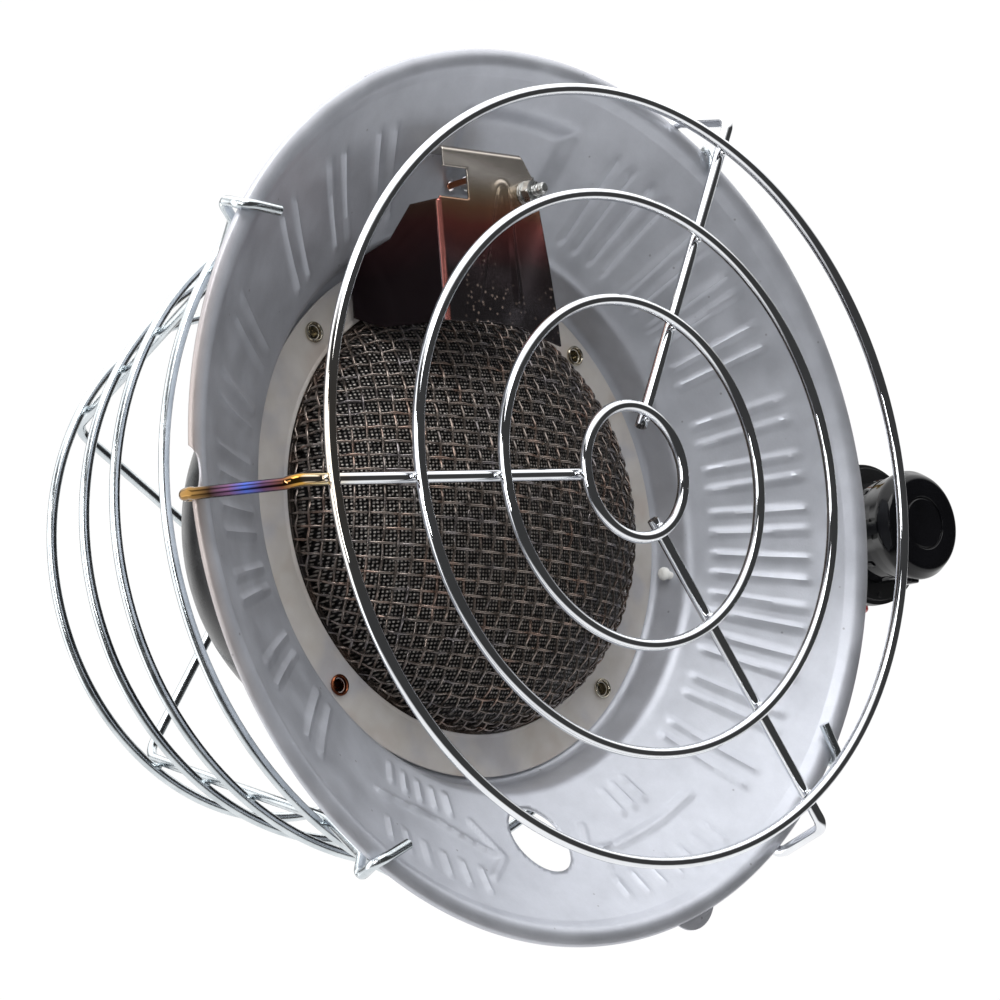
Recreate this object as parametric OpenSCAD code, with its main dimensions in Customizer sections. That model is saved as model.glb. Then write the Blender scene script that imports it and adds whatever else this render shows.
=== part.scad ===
// Tank-top infrared propane heater: a round pressed dish with a mesh dome burner,
// a chrome front guard, a zinc rear cage and a control valve that screws to a tank.
// Origin: face of the tank inlet thread, +Y towards the tank, -Y towards the front, +Z up.

/* [Dish] */
// Radius over the turned lip of the dish
dish_r = 150; // [142:1:158]
// Sheet thickness of the dish
dish_t = 0.8; // [0.6:0.1:1.2]
// Height of the dish centre above the tank inlet
head_z = 200; // [194:1:215]
// Depth of the end of the turned lip behind the rim plane
lip_depth = -0.4; // [-0.6:0.2:2]
// Width of the rolled bead inside the lip
bead_w = 8; // [6:0.5:11]
// Height of the rolled bead in front of the rim plane
bead_h = 3; // [2:0.5:4]
// Depth of the recessed floor behind the rim plane
floor_depth = 47.8; // [44:0.2:52]
// Radius of the recessed floor
floor_r = 92; // [90:0.5:94]
// Radius at the top of the recess wall
recess_r = 96; // [95:0.5:100]
// Depth at which the cone meets the recess wall
cone_depth = 34; // [30:1:38]
// Radius of the lighting hole
light_hole_r = 11.3; // [8:0.1:13]
// Distance of the lighting hole from the dish centre
light_hole_x = 113; // [110:1:118]

/* [Burner] */
// Radius of the mesh dome at its rim
mesh_r = 76; // [70:0.5:77]
// Height of the mesh dome
mesh_h = 36; // [28:1:42]
// Thickness of the crimped mesh
mesh_t = 2; // [1.6:0.1:2.4]
// Thickness of the fine inner screen
screen_t = 0.6; // [0.4:0.1:0.8]
// Thickness of the screen rims where they are clamped
rim_t = 0.5; // [0.4:0.1:0.8]
// Sheet thickness of the burner ring, pan and rear shell
shell_t = 0.8; // [0.6:0.1:1.2]
// Outer radius of the burner ring
ring_r = 89.5; // [88:0.5:91]
// Outer radius of the burner pan
pan_r = 78; // [77:0.5:78.5]
// Depth of the seam between pan and rear shell
seam_depth = 78; // [76:1:82]
// Radius of the rolled seam
seam_r = 84.5; // [82:0.5:86]
// Length of the domed rear shell behind the seam
shell_h = 70; // [50:1:76]
// Distance of the rivets from the burner centre
rivet_pcd_r = 83.3; // [82.5:0.1:84]
// Shank radius of the hollow rivets
rivet_r = 2.2; // [1.6:0.1:2.4]

/* [Guards] */
// Wire diameter of the front guard
front_wire = 4; // [3:0.2:5]
// Distance of the front guard legs in front of the rim plane
guard_front = 36.5; // [30:0.5:42]
// Radius of the outer ring of the front guard
guard_r = 126.5; // [122:0.5:130]
// Radius of the hub ring of the front guard
hub_r = 21.7; // [16:0.1:26]
// Number of rings on the front guard
guard_rings = 4; // [3:1:5]
// Turn of the front guard about the burner axis
guard_roll = -3.5; // [-8:0.5:4]
// Wire diameter of the rear cage
cage_wire = 3.6; // [3:0.2:4.4]
// Radius of the rear ring of the cage
cage_rear_r = 91.4; // [88:0.2:96]
// Growth of the cage radius for each millimetre towards the dish
cage_slope = 0.33; // [0.3:0.01:0.36]
// Depth of the rear ring of the cage
cage_depth = 156; // [154:1:164]
// Distance from the rear ring of the cage to the next ring
cage_step_1 = 36; // [30:1:44]
// Distance from that ring to the third ring
cage_step_2 = 32; // [26:1:40]
// Distance from the third ring to the ring behind the dish
cage_step_3 = 49; // [40:1:54]
// Depth of the crossed spokes behind the rear ring
spoke_drop = 14; // [12:1:20]
// Turn of the rear cage about the burner axis
cage_roll = -9.5; // [-12:0.5:0]

/* [Heat shield] */
// Depth of the shield face behind the rim plane
shield_depth = 6; // [3:0.5:8]
// Sheet thickness of the shield
shield_t = 0.8; // [0.6:0.1:1.2]
// Screw diameter on the shield
shield_screw_d = 4; // [3:0.5:5]
// Radius of the thermocouple rod
probe_r = 2.4; // [1.8:0.1:3]
// Length of the thermocouple rod
probe_l = 38; // [30:1:42]

/* [Mixer tube] */
// Outer radius of the mixer tube
tube_r = 11; // [9:0.5:12]
// Wall of the mixer tube
tube_wall = 1; // [0.8:0.1:1.5]
// Depth of the mixer tube behind the rim plane
tube_depth = 62; // [60:0.5:64]
// Outer radius of the air collar
collar_r = 13.5; // [12.8:0.1:15]

/* [Control valve] */
// Radius of the control knob
knob_r = 20.5; // [16:0.5:24]
// Depth of the knob face behind the rim plane
knob_depth = 15; // [13:0.5:17]
// Thickness of the knob head
knob_head = 14; // [12:0.5:15]
// Radius of the fluted grip of the knob
neck_r = 19; // [14:0.5:19.5]
// Radius of the inset cap in the knob face
cap_r = 9.5; // [7:0.5:12]
// Radius of the dial plate behind the knob
dial_r = 26.5; // [24:0.5:30]
// Depth of the dial plate face behind the rim plane
dial_depth = 41; // [40:0.5:43]
// Radius of the valve spindle
spindle_r = 4; // [3:0.25:5]
// Turn of the knob from off to high
knob_turn = 270; // [90:5:300]
// Where the knob points when it is off, from straight up
knob_off = 270; // [180:5:300]
// Width and height of the valve body
valve_w = 28; // [26:1:32]
// Radius of the safety button
button_r = 7; // [5:0.5:8]
// Travel of the safety button
button_travel = 5; // [3:0.5:6]
// Radius of the button plunger
plunger_r = 2.5; // [2:0.25:3]

/* [Regulator and inlet] */
// Radius of the regulator body
reg_r = 23; // [20:0.5:25]
// Height of the regulator body
reg_h = 16; // [14:1:20]
// Height of the regulator cover
cover_h = 17; // [14:1:22]
// Radius of the tank nut thread
thread_r = 11.2; // [10.5:0.1:12]
// Length of the tank nut thread
thread_l = 18; // [14:1:22]
// Radius of the inlet nipple
nipple_r = 5; // [4:0.25:5.5]
// Radius of the hand wheel
wheel_r = 27; // [22:0.5:32]
// Thickness of the hand wheel
wheel_t = 14; // [10:1:15]

/* [Fits] */
// Radial running clearance of shafts
run_fit = 0.05; // [0.02:0.01:0.1]
// Clearance between pieces that must not touch
gap = 0.3; // [0.2:0.1:0.5]

/* [Hidden] */
$fn = 72;

// The chain of lengths along Y, from the tank inlet towards the front
wheel_y = -2 - wheel_t;
reg_y = wheel_y - 2 - reg_r;
valve_back_y = reg_y - reg_r;
valve_l = 24;
valve_front_y = valve_back_y - valve_l;
dial_t = 5;
head_y = valve_front_y - dial_t - dial_depth;
outlet_y = head_y + tube_depth;
knob_y = head_y + knob_depth;
neck_y = knob_y + knob_head;
dial_y = head_y + dial_depth;
body_z = valve_w / 2;
magnet_in = 8;
magnet_hex = 5;
magnet_out = 17;

// The stack of the burner flange, from the front to the back
mesh_rim_depth = floor_depth - 2 * rim_t;
ring_back = mesh_rim_depth;
ring_front = ring_back - shell_t;
dish_back = floor_depth + dish_t;
pan_back = dish_back + shell_t;
bead_r = dish_r - dish_t / 2;
bead_front = -bead_h - dish_t / 2;
bead_in_depth = 1.5;
// Depth of the middle of the cone's sheet at a distance from the axis
function cone_at(r) =
    bead_in_depth + (cone_depth - bead_in_depth) * (bead_r - bead_w - r) / (bead_r - bead_w - recess_r);

// Regulator levels along Z
reg_top = 8;
reg_bottom = reg_top - reg_h;
cover_bottom = reg_bottom - cover_h;

// Safety button along X, on the side of the valve body
button_z = -6;
button_y = valve_back_y - 8;
button_x = -body_z - 1 - button_travel - 7;

function unit(v) = v / norm(v);

// An arc of n steps that rounds the corner b of the path a-b-c with radius r
function fillet(a, b, c, r, n) =
    let (u = unit(a - b), v = unit(c - b), half = acos(u * v) / 2, t = r / tan(half))
    let (middle = b + unit(u + v) * r / sin(half))
    [for (i = [0:n]) middle + r * unit((1 - i / n) * (b + u * t - middle) + (i / n) * (b + v * t - middle))];

// A path whose inner corners are rounded by the radii in the list
function rounded(p, radii, n = 5) = [
    p[0],
    for (i = [1:len(p) - 2])
        each (radii[i] > 0 ? fillet(p[i - 1], p[i], p[i + 1], radii[i], n) : [p[i]]),
    p[len(p) - 1]];

// The direction of a flat path at point i, from its neighbours
function tangent(p, i) = unit(p[min(i + 1, len(p) - 1)] - p[max(i - 1, 0)]);
function side(p, i, d) = let (q = p[i] + d * [-tangent(p, i)[1], tangent(p, i)[0]]) [max(q[0], 0), q[1]];

// The closed outline of a sheet of thickness t around a flat path
function sheet(p, t) = concat(
    [for (i = [0:len(p) - 1]) side(p, i, t / 2)],
    [for (i = [len(p) - 1:-1:0]) side(p, i, -t / 2)]);

// A shell turned about the burner axis from a path of (radius, depth) points
module turned_sheet(p, t) {
    rotate([-90, 0, 0]) rotate_extrude() polygon(sheet(p, t));
}

// A disc or tube along +Y from depth y0
module ring_y(y0, h, r_out, r_in = 0) {
    translate([0, y0, 0]) rotate([-90, 0, 0]) difference() {
        cylinder(h = h, r = r_out);
        if (r_in > 0) translate([0, 0, -1]) cylinder(h = h + 2, r = r_in);
    }
}

// A hole or pin along Y through (x, z)
module rod_y(x, z, y0, h, r) {
    translate([x, y0, z]) rotate([-90, 0, 0]) cylinder(h = h, r = r);
}

// The direction of a path in space at point i
function heading(p, i) = unit(p[min(i + 1, len(p) - 1)] - p[max(i - 1, 0)]);

// A vector square to v, turned as little as possible to stay square to the heading at point i
function carried(p, i, v) = let (t = heading(p, min(i, len(p) - 1))) unit(v - (v * t) * t);

// A round wire swept along the points of a path
module wire(p, r, square = [0.3, 1, 0.2], sides = 10) {
    normals = [for (i = 0, v = carried(p, 0, square); i < len(p); i = i + 1, v = carried(p, i, v)) v];
    rings = [for (i = [0:len(p) - 1]) for (k = [0:sides - 1])
        let (a = 360 * k / sides)
        p[i] + r * (cos(a) * normals[i] + sin(a) * cross(heading(p, i), normals[i]))];
    last = (len(p) - 1) * sides;
    walls = [for (i = [0:len(p) - 2]) for (k = [0:sides - 1])
        let (a = i * sides + k, b = i * sides + (k + 1) % sides) [a, a + sides, b + sides, b]];
    polyhedron(rings, concat(walls, [[for (k = [0:sides - 1]) k]],
        [[for (k = [sides - 1:-1:0]) last + k]]));
}

// A wire ring about the burner axis
module wire_ring(depth, ring_radius, r) {
    translate([0, depth, 0]) rotate([-90, 0, 0]) rotate_extrude()
        translate([ring_radius, 0]) circle(r = r, $fn = 24);
}

// Moves a piece from the burner frame, whose origin is the centre of the rim plane
module head() {
    translate([0, head_y, head_z]) children();
}

// Turns a piece about the burner axis, from straight up towards +X
module around(angle) {
    rotate([0, angle, 0]) children();
}

// A point at an angle from straight up, at a radius and a depth
function polar(angle, r, depth) = [r * sin(angle), depth, r * cos(angle)];

module rivet_holes(y0, h) {
    for (a = [45:90:315]) around(a) rod_y(0, rivet_pcd_r, y0, h, rivet_r + run_fit);
}

// Outline of the shield face, from its end over the mesh to its end near the rim
shield_in = 57;
shield_out = 116;
shield_low = -13;
shield_high = 34;
shield_screw_x = shield_out - 13;
shield_screw_z = -4.5;
side_tilt = 15;

// ---- Dish ----

dish_path = rounded([
    [pan_r + 1, floor_depth + dish_t / 2], [floor_r, floor_depth + dish_t / 2], [recess_r, cone_depth],
    [bead_r - bead_w, bead_in_depth], [bead_r - bead_w / 2, -bead_h], [bead_r, -bead_h / 2], [bead_r, lip_depth]],
    [0, 3.5, 4, 3, 2.6, 1, 0]);
slot_x = shield_out - 10;
slot_low = -8;
slot_high = 14;
stud_angle = 191.7;
stud_depth = (floor_depth + cone_depth) / 2;
tab_angle = 253;
notch_angle = 0;

module reflector() {
    color("silver") head() difference() {
        union() {
            turned_sheet(dish_path, dish_t);
            around(tab_angle) translate([0, lip_depth - 1.3 * dish_t, dish_r - 3])
                intersection() {
                    rotate([-90, 0, 0]) cylinder(h = dish_t, r = 8);
                    translate([-8, -1, 2.6]) cube([16, 3, 8]);
                }
        }
        rod_y(-light_hole_x, -3, 0, floor_depth, light_hole_r);
        rivet_holes(floor_depth - 1, dish_t + 2);
        around(stud_angle) translate([0, stud_depth, recess_r - 8])
            cylinder(h = 12, r = 1.55, $fn = 24);
        // the scallop in the turned lip at the top
        around(notch_angle) translate([0, lip_depth + 8, dish_r - 4]) cylinder(h = 8, r = 10);
        // the slot that the shield strap and the thermocouple lead pass through
        translate([slot_x, 10, slot_low]) cube([6, 30, slot_high - slot_low]);
    }
}

module reflector_rivet() {
    color("white") head() around(stud_angle) translate([0, stud_depth, 0]) {
        translate([0, 0, floor_r - 2.2]) cylinder(h = 6, r = 1.5, $fn = 24);
        translate([0, 0, floor_r - 0.8]) difference() {
            sphere(r = 2.2, $fn = 32);
            translate([-3, -3, 0]) cube([6, 6, 3]);
        }
        translate([0, 0, floor_r + 3.2]) cylinder(h = 1, r = 2.4, $fn = 24);
    }
}

// ---- Burner ----

module burner_ring() {
    color("gainsboro") head() difference() {
        ring_y(ring_front, shell_t, ring_r, mesh_r - mesh_t / 2);
        rivet_holes(ring_front - 1, shell_t + 2);
    }
}

// Half of an ellipse from the rim at radius r to the axis, height h towards the front
function dome(r, h, depth, n) = [
    for (i = [0:n]) [r * cos(90 * i / n), depth - h * sin(90 * i / n)]];

module screen(r, h, depth, t, rim_depth) {
    outer = dome(r, h, depth, 14);
    inner = dome(r - t, h - t, depth, 14);
    rotate([-90, 0, 0]) rotate_extrude()
        polygon(concat([[rivet_pcd_r + 4, rim_depth], [r, rim_depth]], outer,
            [for (i = [14:-1:0]) inner[i]], [[r - t, rim_depth + rim_t], [rivet_pcd_r + 4, rim_depth + rim_t]]));
}

module mesh_dome() {
    color("dimgray") head() difference() {
        screen(mesh_r - mesh_t / 2 - gap, mesh_h, ring_front, mesh_t, mesh_rim_depth);
        rivet_holes(floor_depth - 3, 6);
    }
}

module inner_screen() {
    r = mesh_r - mesh_t * 1.5 - 2 * gap;
    color("dimgray") head() difference() {
        screen(r, mesh_h - mesh_t - gap, ring_front, screen_t, mesh_rim_depth + rim_t);
        rivet_holes(floor_depth - 3, 6);
    }
}

// Hollow rivets: a tube with a rolled head at the front and at the back
module flange_rivets() {
    head_t = 0.8;
    color("tan") head() for (a = [45:90:315]) around(a) translate([0, ring_front - head_t, rivet_pcd_r])
        rotate([-90, 0, 0]) difference() {
            union() {
                cylinder(h = pan_back - ring_front + 2 * head_t, r = rivet_r);
                cylinder(h = head_t, r = rivet_r + 1.4);
                translate([0, 0, pan_back - ring_front + head_t]) cylinder(h = head_t, r = rivet_r + 1.2);
            }
            translate([0, 0, -1]) cylinder(h = 30, r = rivet_r - 0.7);
        }
}

pan_path = rounded([
    [ring_r - 1, pan_back - shell_t / 2], [pan_r - shell_t / 2, pan_back - shell_t / 2],
    [pan_r - shell_t / 2, seam_depth - shell_t / 2], [seam_r, seam_depth - shell_t / 2]],
    [0, 1, 1, 0]);

module burner_pan() {
    color("#1b1b1d") head() difference() {
        turned_sheet(pan_path, shell_t);
        rivet_holes(dish_back - 1, shell_t + 2);
        translate([0, tube_depth, -pan_r - 5]) cylinder(h = 20, r = tube_r + run_fit);
    }
}

shell_path = concat([[seam_r, seam_depth + shell_t / 2], [pan_r + 1, seam_depth + shell_t / 2]],
    [for (i = [1:16]) [(pan_r - 1) * cos(90 * i / 16), seam_depth + shell_t / 2 + shell_h * sin(90 * i / 16)]]);

module burner_shell() {
    color("#1b1b1d") head() turned_sheet(shell_path, shell_t);
}

module gas_spreader() {
    depth = pan_back + gap;
    color("darkgray") head() difference() {
        ring_y(depth, shell_t, pan_r - shell_t - gap);
        for (ring = [1:4]) for (i = [0:6 * ring - 1])
            around(i * 60 / ring) rod_y(0, ring * 16, depth - 1, 3, 3);
    }
}

// ---- Guards ----

front_r = front_wire / 2;
ring_depth = -guard_front - front_wire + 0.3;
rim_reach = dish_r + front_r + gap / 2;
leg_path = rounded([
    [hub_r - 4, -guard_front], [guard_r + 12, -guard_front], [rim_reach, -bead_h],
    [rim_reach, lip_depth + front_r + gap], [dish_r - 5, lip_depth + front_r + gap]],
    [0, 9, 6, 2.4, 0], 4);

module front_guard() {
    color("lightgray") head() {
        for (i = [0:guard_rings - 1])
            wire_ring(ring_depth, hub_r + (guard_r - hub_r) * i / (guard_rings - 1), front_r);
        for (k = [0:2])
            wire([for (p = leg_path) polar(guard_roll + 120 * k, p[0], p[1])], front_r);
    }
}

cage_r = cage_wire / 2;
function cage_at(depth) = cage_rear_r + (cage_depth - depth) * cage_slope;
ring_depths = [cage_depth, cage_depth - cage_step_1, cage_depth - cage_step_1 - cage_step_2,
    cage_depth - cage_step_1 - cage_step_2 - cage_step_3];
leg_in = cage_wire - 0.3;
cage_reach = dish_r + cage_r + gap / 2;
spoke_depth = cage_depth + spoke_drop;
cage_leg = rounded([
    [0, spoke_depth], [cage_at(spoke_depth) - leg_in, spoke_depth],
    [cage_at(ring_depths[3]) - leg_in, ring_depths[3]], [cage_reach, lip_depth + 2.5],
    [cage_reach, bead_front - cage_r - gap], [dish_r - 11, bead_front - cage_r - gap]],
    [0, 9, 20, 3, 2.4, 0], 4);

function cage_point(p, k, s) =
    polar(cage_roll + 45 + 90 * k, s * p[0], p[1] - (p[0] < cage_at(spoke_depth) ? k * leg_in : 0));

module rear_cage() {
    color("slategray") head() {
        for (d = ring_depths) wire_ring(d, cage_at(d), cage_r);
        // two bent wires, each from hook to hook, cross and are welded at the middle of the back
        for (k = [0:1]) wire(concat(
            [for (i = [len(cage_leg) - 1:-1:1]) cage_point(cage_leg[i], k, 1)],
            [for (i = [1:len(cage_leg) - 1]) cage_point(cage_leg[i], k, -1)]), cage_r);
    }
}

// ---- Heat shield and thermocouple ----

strap_t = 1.2;
probe_z = 10;
probe_x = 64;
probe_depth = shield_depth + shield_t + probe_r + 1.5;

module heat_shield() {
    face = [[shield_in, shield_low - 1], [80, shield_low], [98, shield_low + 2.5], [107, shield_low + 3.5],
        [shield_out, shield_low + 9], [shield_out, shield_high - 3], [98, shield_high], [shield_in, shield_high]];
    cheek = [[shield_in, 0], [shield_in, 10], [64, 37], [81, 37], [84, 32], [88, 20], [98, 11], [98, 0]];
    fold_l = cone_at(norm([shield_out, shield_high - 3])) - dish_t - gap - shield_depth;
    color("#6b4a44") head() difference() {
        union() {
            translate([0, shield_depth + shield_t, 0]) rotate([90, 0, 0]) linear_extrude(shield_t) polygon(face);
            // the cheek folded back beside the burner
            translate([0, shield_depth, shield_high - shield_t]) rotate([side_tilt, 0, 0])
                linear_extrude(shield_t) polygon(cheek);
            // the top folded back to the dish
            translate([shield_out - shield_t, shield_depth, shield_low + 9])
                cube([shield_t, fold_l, shield_high - shield_low - 12]);
        }
        // a slot at the fold of the top
        translate([shield_out - 17, shield_depth - 1, shield_high - 14]) cube([10, 4, 12]);
        rod_y(shield_screw_x, shield_screw_z, shield_depth - 2, 6, shield_screw_d / 2 + run_fit);
    }
}

// A strap behind the shield that holds the thermocouple and passes through the dish
module shield_strap() {
    y0 = shield_depth + shield_t;
    color("gainsboro") head() difference() {
        union() {
            translate([84, y0, -10]) cube([slot_x - 84 + 3.6, strap_t, 16]);
            translate([slot_x + 2.4, y0, slot_low + 1]) cube([strap_t, 34, 13]);
            translate([84, y0, 3]) cube([strap_t, 14, 13]);
        }
        rod_y(shield_screw_x, shield_screw_z, y0 - 1, 6, shield_screw_d / 2 + run_fit);
        translate([80, probe_depth, probe_z]) rotate([0, 90, 0]) cylinder(h = 10, r = probe_r + run_fit);
    }
}

screw_tip = -4;
module shield_screw() {
    y0 = shield_depth + shield_t + strap_t;
    color("silver") head() {
        rod_y(shield_screw_x, shield_screw_z, screw_tip, y0 - screw_tip, shield_screw_d / 2);
        rod_y(shield_screw_x, shield_screw_z, y0, 2.4, shield_screw_d * 0.9);
    }
}

nut_t = 3.2;
washer_t = 0.9;
module shield_washers() {
    color("silver") head() translate([shield_screw_x, 0, shield_screw_z]) for (i = [1:2])
        ring_y(shield_depth - i * washer_t, washer_t, shield_screw_d * 1.05, shield_screw_d / 2 + run_fit);
}

module shield_nut() {
    y0 = shield_depth - 2 * washer_t - nut_t;
    color("silver") head() translate([shield_screw_x, y0, shield_screw_z]) rotate([-90, 0, 0]) difference() {
        cylinder(h = nut_t, r = shield_screw_d, $fn = 6);
        translate([0, 0, -1]) cylinder(h = nut_t + 2, r = shield_screw_d / 2 + run_fit);
    }
}

module thermocouple() {
    color("peru") head() translate([probe_x, probe_depth, probe_z]) rotate([0, 90, 0]) {
        cylinder(h = probe_l, r = probe_r);
        sphere(r = probe_r);
        translate([0, 0, 24]) cylinder(h = 6, r = probe_r + 1);
    }
}

lead_r = 1.1;
// From the end of the rod, through the dish, behind it and down to the valve
lead_points = [
    [probe_x + probe_l, probe_depth, probe_z], [probe_x + probe_l + 1, probe_depth, probe_z],
    [probe_x + probe_l + 7, 15, 10.5], [109, 24, 11], [109, 44, 8.5], [108, 56, -8], [100, 61, -40], [84, 62, -64], [64, 62, -86], [54, 62, -108], [52, 62, -130]];
lead_end = body_z + magnet_out + 6;
lead_bend = 15;

module thermocouple_lead() {
    last = [lead_end, button_y - head_y, button_z - head_z];
    p = concat(lead_points, [last + [lead_bend, 0, 0], last]);
    color("#b87333") head() wire(rounded(p, [for (i = [0:len(p) - 1]) i == 1 ? 0 : 6], 3), lead_r);
}

// ---- Mixer tube, air collar and jet ----

tube_top = head_z - pan_r + 10;
collar_l = 30;

module mixer_tube() {
    color("#1b1b1d") translate([0, outlet_y, 0]) difference() {
        translate([0, 0, body_z + collar_l - 6]) cylinder(h = tube_top - body_z - collar_l + 6, r = tube_r);
        translate([0, 0, body_z]) cylinder(h = tube_top, r = tube_r - tube_wall);
    }
}

module air_collar() {
    color("gainsboro") translate([0, outlet_y, body_z]) difference() {
        union() {
            cylinder(h = collar_l, r = collar_r);
            cylinder(h = 2, r = collar_r + 0.4);
        }
        translate([0, 0, 2]) cylinder(h = collar_l - 8, r = collar_r - 1.5);
        translate([0, 0, collar_l - 7]) cylinder(h = 10, r = tube_r + run_fit);
        translate([0, 0, -1]) cylinder(h = 4, r = 5 + run_fit);
        for (a = [45:90:315]) rotate(a) translate([0, -4, 5]) cube([20, 8, 13]);
    }
}

module orifice_jet() {
    color("goldenrod") translate([0, outlet_y, body_z - 6]) difference() {
        union() {
            cylinder(h = 8, r = 5);
            translate([0, 0, 8]) cylinder(h = 5, r = 5.5, $fn = 6);
            translate([0, 0, 13]) cylinder(h = 5, r = 3);
        }
        translate([0, 0, -1]) cylinder(h = 16, r = 1.5);
        translate([0, 0, 10]) cylinder(h = 10, r = 0.5, $fn = 24);
    }
}

// ---- Control valve ----

bonnet_r = 9;
bonnet_l = 9;
spindle_back = valve_front_y + 14;
valve_screws = body_z - 5;

module valve_body() {
    color("darkkhaki") difference() {
        union() {
            translate([-body_z, valve_front_y, -body_z]) cube([valve_w, valve_l, valve_w]);
            ring_y(valve_front_y - dial_t - bonnet_l, bonnet_l + dial_t, bonnet_r);
        }
        ring_y(valve_front_y - 30, 30 + 14, spindle_r + run_fit);
        ring_y(valve_front_y - dial_t - bonnet_l - 1, 4, spindle_r + 2);
        translate([0, outlet_y, 0]) cylinder(h = body_z + 1, r = 2.5);
        translate([0, outlet_y, body_z - 6]) cylinder(h = 10, r = 5 + run_fit);
        // the cross bore of the plunger and the seat of the magnet unit
        translate([-body_z - 1, button_y, button_z]) rotate([0, 90, 0])
            cylinder(h = valve_w + 2, r = plunger_r + run_fit);
        translate([body_z - magnet_in, button_y, button_z]) rotate([0, 90, 0])
            cylinder(h = magnet_in + 1, r = 6 + run_fit);
        rod_y(0, 0, valve_back_y - 5, 6, nipple_r + run_fit);
        for (s = [-1, 1]) rod_y(s * valve_screws, s * valve_screws, valve_front_y - 1, 9, 1.5 + run_fit);
    }
}

module spindle_seal() {
    color("#222222") ring_y(valve_front_y - dial_t - bonnet_l, 2.6, spindle_r + 1.9, spindle_r + run_fit);
}

module valve_spindle() {
    color("goldenrod") difference() {
        ring_y(knob_y + 5, spindle_back - knob_y - 5.5, spindle_r);
        // the cross drilling that opens to the outlet, and the flat for the knob
        translate([-10, spindle_back - 5, 0]) rotate([0, 90, 0]) cylinder(h = 20, r = 1.6, $fn = 24);
        translate([-5, knob_y + 4, spindle_r * 0.6]) cube([10, 12, 5]);
        rod_y(0, 0, knob_y + 4, 10, 1.25);
    }
}

module dial_plate() {
    color("#151516") difference() {
        union() {
            ring_y(dial_y, dial_t, dial_r - 1.5);
            ring_y(dial_y + 1.5, dial_t - 1.5, dial_r);
            // raised marks where the knob is off and on high
            for (a = [0, knob_turn]) around(knob_off - a) rod_y(0, dial_r - 3.5, dial_y - 0.6, 2, 1);
        }
        ring_y(dial_y - 1, dial_t + 2, bonnet_r + run_fit);
        for (s = [-1, 1]) {
            rod_y(s * valve_screws, s * valve_screws, dial_y - 1, dial_t + 2, 1.5 + run_fit);
            rod_y(s * valve_screws, s * valve_screws, dial_y - 1, 3, 3);
        }
    }
}

module dial_screws() {
    color("silver") for (s = [-1, 1]) {
        rod_y(s * valve_screws, s * valve_screws, dial_y + 2, dial_t + 4, 1.5);
        rod_y(s * valve_screws, s * valve_screws, dial_y + 0.4, 1.6, 2.8);
    }
}

// ---- Knob ----

// Half section of the knob as (radius, depth) points from the face back to the neck
knob_edge = rounded([
    [0, knob_y], [knob_r - 3, knob_y], [knob_r, knob_y + 5], [knob_r - 1, knob_y + 10],
    [neck_r, neck_y], [neck_r, dial_y - 1], [0, dial_y - 1]],
    [0, 3, 3, 3, 2, 0, 0], 6);

module knob() {
    color("#101011") difference() {
        union() {
            rotate([-90, 0, 0]) rotate_extrude() polygon(knob_edge);
            // the pointer lug under the edge of the head
            around(knob_off) translate([-2, knob_y + 7, knob_r - 5.2]) cube([4, 8, 6]);
        }
        ring_y(knob_y - 1, 1.8, cap_r + gap);
        ring_y(knob_y - 1, 5, 4);
        ring_y(knob_y + 5 - gap, 40, spindle_r + run_fit);
        ring_y(dial_y - bonnet_l - gap, 20, bonnet_r + 0.5);
        // the finger flutes round the neck
        for (a = [15:30:345]) around(a) rod_y(0, neck_r + 1.5, neck_y + 2, 30, 2.2);
        rod_y(0, 0, knob_y, 10, 1.3);
    }
    // the key that drives the flat of the spindle
    color("#101011") intersection() {
        translate([-spindle_r, knob_y + 5, spindle_r * 0.6 + run_fit]) cube([2 * spindle_r, 8, spindle_r]);
        ring_y(knob_y + 5, 8, spindle_r + run_fit);
    }
}

module knob_screw() {
    color("silver") {
        rod_y(0, 0, knob_y + 2, 10, 1.2);
        rod_y(0, 0, knob_y + 1.6, 2.3, 2.8);
    }
}

module knob_cap() {
    color("#101011") ring_y(knob_y + 0.3, 0.5, cap_r);
}

// ---- Safety valve ----

module magnet_unit() {
    color("goldenrod") translate([body_z, button_y, button_z]) rotate([0, 90, 0]) difference() {
        union() {
            translate([0, 0, -magnet_in]) cylinder(h = magnet_in, r = 6);
            cylinder(h = magnet_hex, r = 8, $fn = 6);
            translate([0, 0, magnet_hex]) cylinder(h = magnet_out - magnet_hex, r = 4.5);
        }
        translate([0, 0, magnet_out - 5]) cylinder(h = 10, r = 2.5);
    }
}

module thermocouple_nut() {
    color("goldenrod") translate([body_z + magnet_out + gap, button_y, button_z]) rotate([0, 90, 0]) difference() {
        cylinder(h = 9, r = 5, $fn = 6);
        translate([0, 0, -1]) cylinder(h = 20, r = lead_r + run_fit);
    }
}

module button_plunger() {
    color("silver") translate([button_x + 3, button_y, button_z]) rotate([0, 90, 0])
        cylinder(h = body_z - magnet_in - 0.5 - button_travel - button_x - 3, r = plunger_r);
}

module safety_button() {
    color("firebrick") translate([button_x, button_y, button_z]) rotate([0, 90, 0]) difference() {
        union() {
            cylinder(h = 7, r = button_r - 0.8);
            translate([0, 0, 0.8]) cylinder(h = 6.2, r = button_r);
        }
        translate([0, 0, 3]) cylinder(h = 5, r = plunger_r + run_fit);
    }
}

// The return spring between the button and the valve body, as a stack of turns
module button_spring() {
    turns = 4;
    wire_r = 0.5;
    room = button_travel + 1;
    color("silver") translate([-body_z, button_y, button_z]) rotate([0, -90, 0])
        for (i = [0:turns - 1]) translate([0, 0, wire_r + i * (room - 2 * wire_r) / (turns - 1)])
            rotate_extrude() translate([plunger_r + 1.2, 0]) circle(r = wire_r, $fn = 16);
}

// ---- Regulator ----

screw_pcd_r = reg_r - 3.5;
chamber_r = reg_r - 7;

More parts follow.
